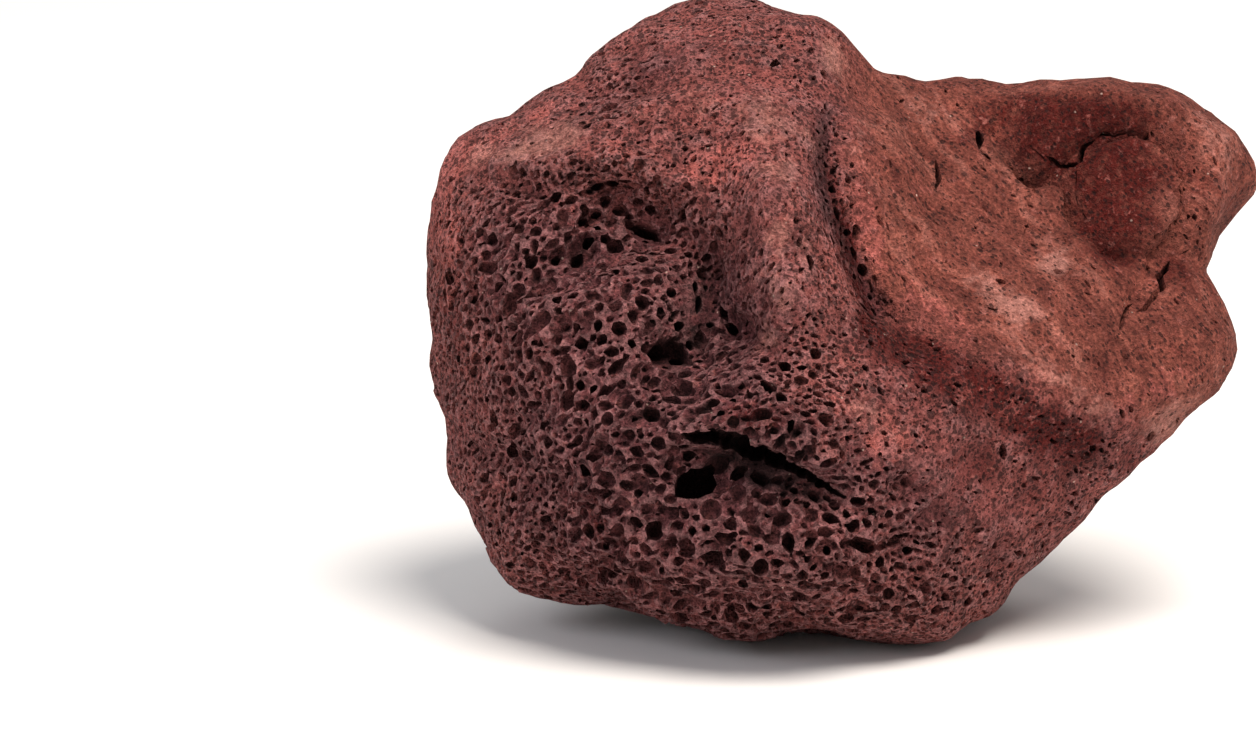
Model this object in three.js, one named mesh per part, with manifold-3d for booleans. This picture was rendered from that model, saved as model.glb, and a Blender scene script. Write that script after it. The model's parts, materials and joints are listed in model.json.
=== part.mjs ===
// A red lava rock of about 207 mm: one loose piece of scoria, with a coarse vesicular face on the
// left and front, a smoother brick-red crust on the right, and a flat patch that it rests on.
import * as THREE from "three";
import { mergeVertices } from "three/addons/utils/BufferGeometryUtils.js";
import Module from "manifold-3d";

// The stone is surveyed from its front, from an eye a metre away that looks slightly down on it.
// A survey point is [right, up, near] in mm: where its sight line crosses the upright plane through
// the stone's middle, and how far in front of that plane it lies.
const eyeDistance = 1000;
const eyeRight = -53;
const eyeUp = 68.5;
const eyeTilt = THREE.MathUtils.degToRad(12);

const heart = new THREE.Vector3(12, 83, -26); // the survey point that every radius is measured from
const rest = new THREE.Vector3(-5, 78, -6); // the survey point right above the middle of the stone's flat
const restHeight = 70.8; // of that point above the flat
const roundness = 0.085; // how gently the skin bends at a landmark, as a share of its radius
const skinDetail = 13; // the icosahedron's subdivisions: 14 by 14 triangles on each of 20 faces

// Landmarks of the skin, by region.
const landmarks = [
  // The outline from the left shoulder over the crest to the saddle
  [-96.8, 125.8, 4],
  [-88.8, 130, -2],
  [-80, 134.3, -6],
  [-70, 140.8, -8],
  [-63.8, 145.3, -8],
  [-60, 149.5, -8],
  [-48.8, 155.8, -10],
  [-40, 160, -10],
  [-25, 161.3, -10],
  [-13.8, 158, -8],
  [-5, 156.5, -6],
  [2.5, 150.3, -6],
  [6.3, 146, -8],
  [11.3, 142.8, -11],
  [26.3, 141, -15],
  // The right lobe's curled rim, its tip, the notch and the lower lobe
  [34, 141.6, -15],
  [41.3, 140, -14],
  [51.3, 141, -14],
  [65, 141.3, -13],
  [75, 139.3, -12],
  [83.8, 136.8, -11],
  [91.3, 132.6, -10],
  [98.8, 126, -8],
  [104, 118.5, -5],
  [104.8, 113.5, -4],
  [99.5, 107, -2],
  [95, 102.8, 0],
  [93, 97, 2],
  [93, 92.8, 3],
  [95.5, 87, 6],
  [98.4, 79.5, 8],
  [99, 72, 9],
  [96.6, 65, 10],
  [91.5, 60, 12],
  // The outline down the right side to the foot
  [86.3, 55.5, 18],
  [81.3, 52.6, 18],
  [76.3, 46.3, 15],
  [67.5, 38.5, 11],
  [61.3, 31.6, 9],
  [56.3, 25.2, 9],
  [51.3, 21, 10],
  [42.5, 13.8, 14],
  [38, 7.8, 19],
  [32.5, 3.5, 22],
  [25, 0.8, 26],
  [15, 0.3, 28],
  [7.5, 1.3, 29],
  [-2.5, 3, 30],
  [-12.5, 3, 30],
  [-22.5, 1.3, 30],
  [-30, 2.8, 29],
  [-37.5, 4.5, 27],
  [-45, 5.8, 25],
  [-50, 8.8, 20],
  [-67.5, 10.5, 12],
  // The outline up the left side
  [-81, 15, 8],
  [-90, 27, 4],
  [-96.5, 43, 0],
  [-100.5, 60.8, 0],
  [-102.5, 76, 0],
  [-103.5, 95.8, 4],
  [-102, 106, 7],
  [-100.8, 112, 9],
  // The slope from the crest down to the left shoulder's edge
  [-35, 150.8, 14],
  [-50, 143, 16],
  [-70, 133, 15],
  [-85, 125.8, 15],
  [-17.5, 149.5, 14],
  [-4.5, 148.5, 11],
  [-37.5, 130.8, 33],
  [-55, 123, 36],
  [-70, 119.5, 33],
  [-85, 115.8, 28],
  [-95, 115.8, 17],
  // The hollow under the left shoulder and the swelling below it
  [-98.8, 95.8, 16],
  [-90, 95.8, 31],
  [-75, 103, 39],
  [-60, 107, 37],
  [-50, 102, 36],
  [-37.5, 110.8, 40],
  [-97.5, 78, 18],
  [-85, 80.8, 38],
  [-70, 85.8, 49],
  [-55, 85.8, 54],
  // The nose: a blunt ridge from the crest down to the lip, with a valley on its left
  [-20, 133, 36],
  [-10, 123, 42],
  [-25, 113, 46],
  [-12.5, 110.8, 52],
  [-40, 84, 49],
  [-35, 90, 46],
  [-24, 90, 54],
  [-10, 88, 60],
  [2.5, 83, 54],
  [-37.5, 70.8, 52],
  [-25, 65.8, 62],
  [-10, 65.8, 66],
  [5, 63, 62],
  // The crust face right of the nose, hollowed like a saddle
  [5, 138, 8],
  [5, 120.8, 31],
  [15, 115.8, 24],
  [22.5, 133, 2],
  [30, 113, 15],
  [36, 131, -1],
  [5, 101, 41],
  [15, 98, 34],
  [30, 95.8, 26],
  [47.5, 98, 20],
  [52, 116, 9],
  [25, 78, 43],
  [42.5, 80.8, 38],
  [60, 80.8, 32],
  [75, 78, 29],
  // The right lobe: a thick rim round a sunken disc
  [52.5, 132, 5],
  [72.5, 134, 6],
  [90, 127, 6],
  [98, 116, 6],
  [60, 121, 9],
  [72.5, 111, 11],
  [90, 110.8, 14],
  [66, 99, 19],
  [77, 96, 17],
  [88, 95.8, 15],
  [90, 78, 24],
  // The edge where the crust face turns down to the lower right face
  [20, 66, 55],
  [32.5, 68, 50],
  [50, 63, 43],
  [65, 58.5, 37],
  [80, 58.5, 28],
  // The lower left flank and the lip that overhangs the front
  [-95, 60.8, 16],
  [-80, 63, 42],
  [-62.5, 65.8, 57],
  [-47.5, 68, 58],
  [-85, 43, 26],
  [-70, 45.8, 47],
  [-52.5, 48, 60],
  [-35, 54, 66],
  [-20, 55, 70],
  [-5, 49, 68],
  [7.5, 45.8, 61],
  [25, 50.8, 55],
  [40, 52, 46],
  [55, 45.8, 35],
  [67.5, 43, 25],
  // The swelling below the lip, down to the foot
  [-35, 45, 60],
  [-20, 45, 61],
  [-5, 38, 61],
  [-70, 25.8, 38],
  [-55, 28, 54],
  [-37.5, 33, 62],
  [-22.5, 34, 64],
  [-5, 29, 64],
  [12.5, 30.8, 57],
  [30, 35.8, 46],
  [45, 33, 34],
  [-55, 13, 34],
  [-35, 14, 50],
  [-15, 13, 54],
  [5, 12, 50],
  [25, 14, 42],
  [38, 20, 30],
  // The underside, most of it cut off by the flat that the stone rests on
  [-7, 3.5, 14],
  [-5, 1, -5],
  [-27, 1.5, 0],
  [20, 1, 2],
  [-12, 3, -28],
  [20, 5, -26],
  [-46, 10, -8],
  [42, 15, -6],
  [-66, 18, -14],
  [-38, 10, -31],
  [-12, 8, -42],
  [15, 10, -38],
  [56, 38, -14],
  // The back, in broad faces that meet on a blunt edge
  [-10, 88, -68],
  [-42, 78, -65],
  [30, 82, -58],
  [-78, 82, -40],
  [60, 88, -42],
  [-20, 122, -50],
  [-56, 120, -44],
  [20, 118, -47],
  [-8, 46, -63],
  [-46, 42, -52],
  [30, 46, -50],
  [62, 60, -34],
  [-82, 46, -30],
  [84, 108, -30],
  [82, 76, -22],
  [-91, 97, -22],
  [-30, 148, -30],
  [-66, 138, -24],
  [44, 130, -34],
  [70, 127, -28],
  [5, 138, -30],
  [-90, 117, -14],
  [-14, 16, -53],
  [20, 21, -44],
  [-52, 22, -40],
  [50, 30, -24],
  [93, 112, -22],
  [86, 89, -17],
  [-100, 77, -14],
  [-93, 50, -16],
  [74, 58, -12],
];

// Broken faces, nearly flat, on the sides that the front doesn't show: the direction that each one
// faces as [right, up, near], and its distance from the heart.
const brokenFaces = [
  { facing: [-0.25, 0.15, -0.95], distance: 44 },
  { facing: [0.5, -0.05, -0.86], distance: 38 },
  { facing: [-0.78, -0.12, -0.6], distance: 79 },
  { facing: [-0.4, 0.6, -0.7], distance: 60.5 },
  { facing: [0.25, 0.7, -0.67], distance: 47 },
  { facing: [-0.45, -0.66, -0.6], distance: 73.5 },
  { facing: [0.38, -0.68, -0.62], distance: 57 },
];
const edgeRounding = 4; // of the edges between the broken faces, in mm

// Furrows worn or broken into the front: a path of [right, up], how wide and how deep.
const furrows = [
  { path: [[-3, 127], [1, 112], [5, 98], [10, 83], [18, 74]], wide: 4.5, deep: 2.6 }, // beside the nose
  { path: [[-62, 114], [-54, 109], [-46, 101]], wide: 5, deep: 3 }, // under the left shoulder
  { path: [[-36, 93], [-37, 82], [-41, 72]], wide: 5, deep: 3.4 }, // left of the nose
  { path: [[49, 124], [56, 119.5], [61, 125], [70, 129], [80, 126]], wide: 3.6, deep: 2.4 }, // above the disc
  { path: [[58, 114], [65, 103], [74, 97], [81, 93]], wide: 4, deep: 2 }, // below the disc
];

// Open bubbles that show from the front: [right, up, width, height, depth, slant in degrees].
const bubbles = [
  [-36, 39, 10.6, 8.4, 9, 15],
  [6, 24.7, 8, 4, 6, -18],
  [-58.7, 114.7, 7.6, 3.8, 7, 5],
  [-48.2, 102.6, 8.4, 3.8, 7, -28],
  [-61.9, 105.5, 7, 6, 4, 30],
  [-64, 97, 9.5, 6, 5, 50],
  [-72.9, 89.7, 7.6, 5, 3, 40],
  [-41.9, 72.3, 10, 6.6, 7, -15],
  [-35.2, 86, 4.2, 9, 6, -8],
  [-29, 80.5, 4.6, 4.4, 4, 0],
  [-49.8, 84.8, 4.4, 4.4, 4, 0],
  [-55.4, 77.8, 4.2, 4.4, 4, 0],
  [-64, 74.5, 4.6, 4.2, 4, 20],
  [-74.4, 79.1, 7.4, 4.2, 3, 45],
  [-50.3, 56.6, 11, 5.4, 2.4, 5],
  [-79, 63.1, 4.8, 4.4, 3, 0],
  [-60.5, 48.5, 6.8, 5.2, 3.6, 10],
  [-58.4, 41, 5.4, 5, 3.6, 0],
  [-47.5, 43.6, 5.4, 3.4, 4.4, -35],
  [-54.6, 34.6, 8, 5.6, 2.6, 10],
  [-46.6, 27.5, 5, 5.2, 5.6, 0],
  [-54, 20.4, 5.2, 5.8, 4, 0],
  [-62.6, 28.1, 5.2, 4.6, 4, 0],
  [-40.1, 7.6, 11, 7, 3, 0],
  [-30.5, 31.5, 4.8, 4.4, 4, 0],
  [-12.6, 24.8, 4.4, 6, 4.6, 0],
  [-20.3, 18.8, 4.6, 5.2, 4, 0],
  [-10.2, 11, 4.6, 5, 4.6, 0],
  [9.7, 13.1, 6.4, 4.6, 2.6, 0],
  [-18.3, 31.3, 6.6, 4.6, 2.2, 0],
  [-1.8, 31, 5.4, 3.6, 4, -20],
  [14.5, 23, 4.4, 4.4, 3.6, 0],
  [-10.8, 53.6, 5.2, 5, 3, 0],
  [-19.9, 57, 6.6, 4.8, 3.6, 10],
  [-17.8, 64.6, 6.4, 3, 4, -55],
  [-39.8, 16.5, 4.8, 4.6, 4, 0],
  [-45.3, 49.8, 5.2, 4.6, 3, 0],
  [40.7, 48, 3, 5.4, 3, 15],
  [31.8, 11.5, 4.4, 4.2, 3, 0],
  [24.5, 116.5, 2.6, 7, 3, 0],
  [77.6, 51.8, 4, 4, 3, 0],
];

// The undercut below the lip: [right, up, height, depth] along it. It climbs behind the lip.
const undercut = [
  [-41, 49.6, 1.5, 3],
  [-37, 50.6, 4.4, 7],
  [-31, 50.9, 5.4, 9],
  [-24, 49.9, 5.4, 10],
  [-16.5, 47.4, 5, 10],
  [-10, 44, 4.4, 9],
  [-3.5, 40.4, 3.6, 7],
  [2, 36.6, 3, 5],
  [4.5, 34.4, 1.2, 2],
];
const undercutRise = 0.55; // up for each mm inward

// Cracks in the crust: [right, up] along each, its width at the skin and its depth.
const cracks = [
  { path: [[51.3, 122], [55, 119], [59.3, 120], [60.8, 123.3], [63.8, 126.3]], wide: 2.4, deep: 4 },
  { path: [[63.8, 126.3], [68.8, 127.6], [73.8, 127.4], [78, 125.4]], wide: 1.8, deep: 3 },
  { path: [[59.6, 118.8], [58.6, 116], [59, 113.5]], wide: 1.4, deep: 2.5 },
  { path: [[34.8, 127.8], [34.8, 123.8], [36.6, 121.2]], wide: 1.8, deep: 4 },
  { path: [[24.2, 119.8], [24.5, 114]], wide: 1.8, deep: 4 },
  { path: [[82.4, 95.6], [79.9, 92], [80, 89.2], [78.5, 86.3], [76.4, 83.8]], wide: 2.2, deep: 5 },
  { path: [[72, 84.5], [71, 81.3], [70.3, 78.6]], wide: 1.5, deep: 4 },
];

// Open bubbles all over the sides that the front doesn't show, set out on a spiral.
const hiddenBubbles = 52;
const smallestHidden = 4.4; // across, in mm
const largestHidden = 10;

const brickRed = 0x83493f;

const wasm = await Module();
wasm.setup();

// The survey point's place in the stone's upright middle plane and in front of it.
function seen([right, up, near]) {
  const share = near / eyeDistance;
  return new THREE.Vector3(right + (eyeRight - right) * share, up + (eyeUp - up) * share, near);
}

// Where a point is seen from the eye: [right, up].
function sighted(point) {
  const share = point.z / eyeDistance;
  return [(point.x - eyeRight * share) / (1 - share), (point.y - eyeUp * share) / (1 - share)];
}

// Solves a square system of equations by elimination.
function solve(matrix, values) {
  const rows = matrix.map((row, i) => [...row, values[i]]);
  const size = rows.length;
  for (let pivot = 0; pivot < size; pivot++) {
    let best = pivot;
    for (let i = pivot + 1; i < size; i++) {
      if (Math.abs(rows[i][pivot]) > Math.abs(rows[best][pivot])) best = i;
    }
    [rows[pivot], rows[best]] = [rows[best], rows[pivot]];
    for (let i = pivot + 1; i < size; i++) {
      const factor = rows[i][pivot] / rows[pivot][pivot];
      for (let j = pivot; j <= size; j++) rows[i][j] -= factor * rows[pivot][j];
    }
  }
  const solution = new Array(size).fill(0);
  for (let i = size - 1; i >= 0; i--) {
    let sum = rows[i][size];
    for (let j = i + 1; j < size; j++) sum -= rows[i][j] * solution[j];
    solution[i] = sum / rows[i][i];
  }
  return solution;
}

// The radius in any direction from the heart is a smooth surface through all the landmarks.
const arms = landmarks.map((mark) => seen(mark).sub(heart));
const rays = arms.map((arm) => arm.clone().normalize());
const bend = (a, b) => Math.hypot(a.distanceTo(b), roundness);
const pulls = solve(
  rays.map((a) => rays.map((b) => bend(a, b))),
  arms.map((arm) => arm.length()),
);
const landmarkRadius = (ray) => rays.reduce((sum, other, i) => sum + pulls[i] * bend(ray, other), 0);

// How far a point belongs to the smooth crust of the right side, from 0 to 1.
function crustShare({ x, y, z }) {
  const { smoothstep } = THREE.MathUtils;
  return smoothstep(x, -8, 12) * smoothstep(y + 0.45 * x, 78, 96) * smoothstep(z, -30, -10);
}

// Lumps two to six centimetres across, lower on the crust.
function lumps(point) {
  const { x, y, z } = point;
  const broad = Math.sin(x / 6.1 + y / 9.7) + Math.sin(y / 5.3 - z / 7.9) + Math.sin(z / 5.9 + x / 11.3);
  const narrow = Math.sin(x / 3.1 - z / 4.3) + Math.sin(y / 2.9 + x / 3.7) + Math.sin(z / 3.3 - y / 4.1);
  return (0.5 * broad + 0.3 * narrow) * (1 - 0.55 * crustShare(point));
}

// The distance from a point to a path, both [right, up].
function distanceToPath([right, up], path) {
  let nearest = Infinity;
  for (let i = 1; i < path.length; i++) {
    const [fromRight, fromUp] = path[i - 1];
    const alongRight = path[i][0] - fromRight;
    const alongUp = path[i][1] - fromUp;
    const dot = (right - fromRight) * alongRight + (up - fromUp) * alongUp;
    const share = THREE.MathUtils.clamp(dot / (alongRight ** 2 + alongUp ** 2), 0, 1);
    const gap = Math.hypot(right - fromRight - share * alongRight, up - fromUp - share * alongUp);
    nearest = Math.min(nearest, gap);
  }
  return nearest;
}

// How deep the furrows are at a point of the front.
function furrowDepth(point) {
  if (point.z < 0) return 0;
  const spot = sighted(point);
  return furrows.reduce(
    (sum, { path, wide, deep }) => sum + deep * Math.exp(-((distanceToPath(spot, path) / wide) ** 2)),
    0,
  );
}

// The lesser of two lengths, with the step between them rounded off.
function softLesser(a, b) {
  const share = THREE.MathUtils.clamp(0.5 + (b - a) / (2 * edgeRounding), 0, 1);
  return b + (a - b) * share - edgeRounding * share * (1 - share);
}

// A radius cut back to the broken faces.
function brokenRadius(ray, radius) {
  let length = radius;
  for (const { facing, distance } of brokenFaces) {
    const slope = ray.dot(new THREE.Vector3(...facing).normalize());
    if (slope > 0.2) length = softLesser(length, distance / slope);
  }
  return length;
}

// The skin's distance from the heart in a direction.
function skinRadius(ray) {
  const radius = brokenRadius(ray, landmarkRadius(ray));
  const point = ray.clone().multiplyScalar(radius).add(heart);
  return radius + lumps(point) - furrowDepth(point);
}

const skinPoint = (ray) => ray.clone().multiplyScalar(skinRadius(ray)).add(heart);

// Where the sight line through [right, up] first meets the skin.
function skinAt(right, up) {
  const outside = (near) => {
    const arm = seen([right, up, near]).sub(heart);
    return arm.length() > skinRadius(arm.clone().normalize());
  };
  let far = 90;
  while (outside(far - 2) && far > 0) far -= 2;
  let close = far - 2;
  for (let i = 0; i < 12; i++) {
    const middle = (far + close) / 2;
    if (outside(middle)) far = middle;
    else close = middle;
  }
  return seen([right, up, far]);
}

// The outward normal of the skin at a point on it.
function skinNormal(point) {
  const ray = point.clone().sub(heart).normalize();
  const side = new THREE.Vector3(-ray.y, ray.x, 0.3).cross(ray).normalize();
  const other = ray.clone().cross(side);
  const step = 0.04;
  const [a, b, c, d] = [side, other].flatMap((way) =>
    [step, -step].map((by) => skinPoint(ray.clone().addScaledVector(way, by).normalize())),
  );
  return a.sub(b).cross(c.sub(d)).normalize().multiplyScalar(Math.sign(side.cross(other).dot(ray)));
}

// A closed geometry as a solid that can be cut.
function solidOf(geometry) {
  const bare = new THREE.BufferGeometry();
  bare.setAttribute("position", geometry.attributes.position);
  bare.setIndex(geometry.index);
  const merged = mergeVertices(bare, 1e-4);
  return new wasm.Manifold(
    new wasm.Mesh({
      numProp: 3,
      vertProperties: new Float32Array(merged.attributes.position.array),
      triVerts: new Uint32Array(merged.index.array),
    }),
  );
}

// The whole stone before anything is cut from it.
function makeSkin() {
  const geometry = new THREE.IcosahedronGeometry(1, skinDetail);
  const position = geometry.attributes.position;
  for (let i = 0; i < position.count; i++) {
    const ray = new THREE.Vector3().fromBufferAttribute(position, i).normalize();
    position.setXYZ(i, ...skinPoint(ray).toArray());
  }
  return geometry;
}

// A hollow of the given width, height and depth whose own z axis points along a normal.
function hollow(place, normal, [width, height, depth], slant) {
  const detail = Math.max(width, height) > 6.5 ? 1 : 0;
  const geometry = new THREE.IcosahedronGeometry(1, detail);
  geometry.rotateY(0.4).scale(width / 2, height / 2, depth).rotateZ(slant);
  const up = Math.abs(normal.y) < 0.95 ? new THREE.Vector3(0, 1, 0) : new THREE.Vector3(0, 0, 1);
  const across = up.cross(normal).normalize();
  const turn = new THREE.Matrix4().makeBasis(across, normal.clone().cross(across), normal);
  return geometry.applyMatrix4(turn.setPosition(place));
}

// The bubbles of the front, which lie square to the skin.
function frontBubbles() {
  return bubbles.map(([right, up, width, height, depth, slant]) => {
    const place = skinAt(right, up);
    return hollow(place, skinNormal(place), [width, height, depth], THREE.MathUtils.degToRad(slant));
  });
}

// Bubbles on the back, the flanks and the underside.
function backBubbles() {
  const golden = Math.PI * (3 - Math.sqrt(5));
  const rows = [];
  for (let i = 0; i < hiddenBubbles; i++) {
    const near = 0.12 - (1.1 * (i + 0.5)) / hiddenBubbles;
    const ring = Math.sqrt(1 - near ** 2);
    const turn = i * golden;
    const ray = new THREE.Vector3(ring * Math.cos(turn), ring * Math.sin(turn), near);
    const place = skinPoint(ray);
    if (sightedOnOutline(ray)) continue;
    const share = (1 + Math.sin(i * 2.6)) / 2;
    const across = smallestHidden + (largestHidden - smallestHidden) * share ** 2;
    const size = [across, across * (0.72 + 0.2 * Math.cos(i * 1.7)), across * 0.55];
    rows.push(hollow(place, skinNormal(place), size, turn));
  }
  return rows;
}

// True where a hollow would bite into the outline that the front shows.
function sightedOnOutline(ray) {
  return ray.z > -0.12;
}

// A closed skin through rings of equally many points, flat at both ends.
function loft(rings) {
  const around = rings[0].length;
  const points = rings.flat();
  const triangles = [];
  for (let i = 0; i + 1 < rings.length; i++) {
    for (let j = 0; j < around; j++) {
      const next = (j + 1) % around;
      const [a, b] = [i * around + j, i * around + next];
      const [c, d] = [a + around, b + around];
      triangles.push(a, b, d, a, d, c);
    }
  }
  const last = points.length - around;
  for (let j = 1; j + 1 < around; j++) {
    triangles.push(0, j + 1, j);
    triangles.push(last, last + j, last + j + 1);
  }
  const geometry = new THREE.BufferGeometry().setFromPoints(points);
  return geometry.setIndex(triangles);
}

// The direction of a path at one of its points.
function pathDirection(points, i) {
  const before = points[Math.max(i - 1, 0)];
  const after = points[Math.min(i + 1, points.length - 1)];
  return after.clone().sub(before).normalize();
}

// The dark hollow that undercuts the lip, six-sided across.
function undercutHollow() {
  const inward = new THREE.Vector3(0, undercutRise, -1).normalize();
  const mouths = undercut.map(([right, up]) => skinAt(right, up));
  const rings = undercut.map(([, , height, depth], i) => {
    const upward = inward.clone().cross(pathDirection(mouths, i)).normalize().multiplyScalar(-height / 2);
    const corner = (rise, into) => mouths[i].clone().addScaledVector(upward, rise).addScaledVector(inward, into);
    return [
      corner(-0.9, -6),
      corner(-1, depth * 0.4),
      corner(-0.3, depth),
      corner(0.5, depth),
      corner(1, depth * 0.5),
      corner(0.9, -6),
    ];
  });
  return loft(rings);
}

// A crack: wide at the skin and sharp inside.
function crackWedge({ path, wide, deep }) {
  const mouths = path.map(([right, up]) => skinAt(right, up));
  const rings = mouths.map((mouth, i) => {
    const normal = skinNormal(mouth);
    const across = normal.clone().cross(pathDirection(mouths, i)).normalize();
    const share = i === 0 || i === mouths.length - 1 ? 0.35 : 1;
    const corner = (side, out) => mouth.clone().addScaledVector(across, side * wide).addScaledVector(normal, out);
    return [corner(-share / 2, 2), corner(0, -deep * share), corner(share / 2, 2)];
  });
  return loft(rings);
}

// From the survey to the stone's own frame: upright, with the middle of its flat at the origin.
function standUpright(geometry) {
  return geometry
    .translate(-rest.x, -rest.y, -rest.z)
    .rotateX(Math.PI / 2 - eyeTilt)
    .translate(0, 0, restHeight);
}

// Everything below the surface that the stone stands on.
function below() {
  const size = 400;
  return new THREE.BoxGeometry(size, size, size).translate(0, 0, -size / 2);
}

function makeStone() {
  let stone = solidOf(standUpright(makeSkin()));
  const cuts = [...frontBubbles(), ...backBubbles(), undercutHollow(), ...cracks.map(crackWedge)];
  for (const cut of cuts) stone = stone.subtract(solidOf(standUpright(cut)));
  stone = stone.subtract(solidOf(below()));
  const mesh = stone.getMesh();
  const geometry = new THREE.BufferGeometry();
  geometry.setAttribute("position", new THREE.BufferAttribute(mesh.vertProperties, 3));
  geometry.setIndex(new THREE.BufferAttribute(mesh.triVerts, 1));
  geometry.computeVertexNormals();
  return geometry;
}

const scoria = new THREE.MeshStandardMaterial({ color: brickRed, roughness: 0.95, metalness: 0 });
const lavaRock = new THREE.Mesh(makeStone(), scoria);
lavaRock.name = "lava_rock";

const group = new THREE.Group();
group.add(lavaRock);

export default group;
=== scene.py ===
# Red lava rock: one loose piece of vesicular scoria. Its left and front are coarse and full of open
# bubbles, and its right side is a smoother brick-red crust that curls up into a lobe.
import json
import math

import bmesh
import bpy
import numpy as np
from mathutils import Matrix, Vector, kdtree
from mathutils.bvhtree import BVHTree

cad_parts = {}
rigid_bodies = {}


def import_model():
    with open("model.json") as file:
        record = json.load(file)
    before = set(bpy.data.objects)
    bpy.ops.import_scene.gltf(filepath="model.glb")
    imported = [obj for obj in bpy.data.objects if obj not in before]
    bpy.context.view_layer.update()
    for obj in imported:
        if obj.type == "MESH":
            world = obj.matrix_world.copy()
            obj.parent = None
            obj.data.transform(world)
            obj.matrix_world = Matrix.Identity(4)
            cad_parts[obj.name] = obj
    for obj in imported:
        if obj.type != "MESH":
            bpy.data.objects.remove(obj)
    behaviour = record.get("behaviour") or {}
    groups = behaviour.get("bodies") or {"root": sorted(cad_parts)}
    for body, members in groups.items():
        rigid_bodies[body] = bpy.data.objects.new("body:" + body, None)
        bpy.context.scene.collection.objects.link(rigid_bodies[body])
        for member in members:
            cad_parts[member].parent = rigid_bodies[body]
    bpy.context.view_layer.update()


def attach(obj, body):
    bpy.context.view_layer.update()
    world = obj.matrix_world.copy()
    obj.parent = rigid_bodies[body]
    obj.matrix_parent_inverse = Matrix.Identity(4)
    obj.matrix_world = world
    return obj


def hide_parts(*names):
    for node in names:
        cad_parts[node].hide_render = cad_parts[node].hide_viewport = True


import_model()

mm = 0.001

# The stone is surveyed from its front, from an eye a metre away that looks slightly down on it. A spot is
# [right, up, near] in mm: where its sight line crosses the upright plane through the stone's middle, and how
# far in front of that plane it lies.
survey = {
    "eye": (-53.0, 68.5, 1000.0),
    "tilt": 12.0,  # degrees that the eye looks down
    "heart": (12.0, 83.0, -26.0),  # every radius is measured from here
    "rest": (-5.0, 78.0, -6.0),  # right above the middle of the flat
    "restHeight": 70.8,
}
eye = np.array(survey["eye"])
heart = np.array(survey["heart"])


def seen(spots):
    spots = np.asarray(spots, float)
    share = spots[:, 2:] / eye[2]
    return np.hstack([spots[:, :2] + (eye[:2] - spots[:, :2]) * share, spots[:, 2:]])


def sighted(points):
    share = points[:, 2:] / eye[2]
    return (points[:, :2] - eye[:2] * share) / (1 - share)


tilt = math.radians(survey["tilt"])
toRow = Matrix.Translation((0, 0, survey["restHeight"] * mm)) @ Matrix.Rotation(math.pi / 2 - tilt, 4, "X")
toRow = toRow @ Matrix.Scale(mm, 4) @ Matrix.Translation(-Vector(survey["rest"]))  # survey to the stone's frame


def moved(points, matrix):
    matrix = np.array(matrix)
    return points @ matrix[:3, :3].T + matrix[:3, 3]


def unit(vectors):
    return vectors / np.linalg.norm(vectors, axis=-1, keepdims=True)


def ramp(values, low, high):  # 0 below low, 1 above high, smooth between
    share = np.clip((values - low) / (high - low), 0, 1)
    return share * share * (3 - 2 * share)


noiseCells = 32  # a side of the block of random values that noise repeats
noiseFull = 1.4  # about what the layers of rough noise add up to


def softNoise(points, size, seed):  # smooth random lumps of about this size in mm, from -1 to 1
    dice = np.random.default_rng(seed)
    lattice = dice.uniform(-1, 1, (noiseCells,) * 3)
    turn = np.linalg.qr(dice.normal(size=(3, 3)))[0]
    places = points @ turn / size + 500  # far from the block's own corner
    corner = np.floor(places).astype(int)
    share = places - corner
    share = share * share * (3 - 2 * share)
    total = 0
    for step in np.ndindex(2, 2, 2):
        weight = np.where(step, share, 1 - share).prod(axis=1)
        total = total + weight * lattice[tuple(((corner + step) % noiseCells).T)]
    return total


def roughNoise(points, size, seed, layers=3):  # each layer is half as large and as high as the last
    return sum(softNoise(points, size / 2**i, seed + i) / 2**i for i in range(layers)) / noiseFull


# Noise by what it shapes: size of its lumps in mm, seed, layers
noises = {
    "froth": (8, 11, 4), "creases": (14, 21), "hollows": (9, 25), "crustGrain": (5, 31), "crustSwell": (18, 35, 1),
    "grooveEdge": (5, 45), "sides": (26, 40), "crustEdge": (9, 50), "foamEdge": (8, 60), "bubbleSize": (30, 15),
}
# How far in front of the stone's middle a thing starts and is full, in mm, and how far behind it for the last
fades = {"zones": (-32, -8), "groove": (-10, 5), "folds": (-8, 3), "edges": (-45, -30), "hidden": (5, 30)}

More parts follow.
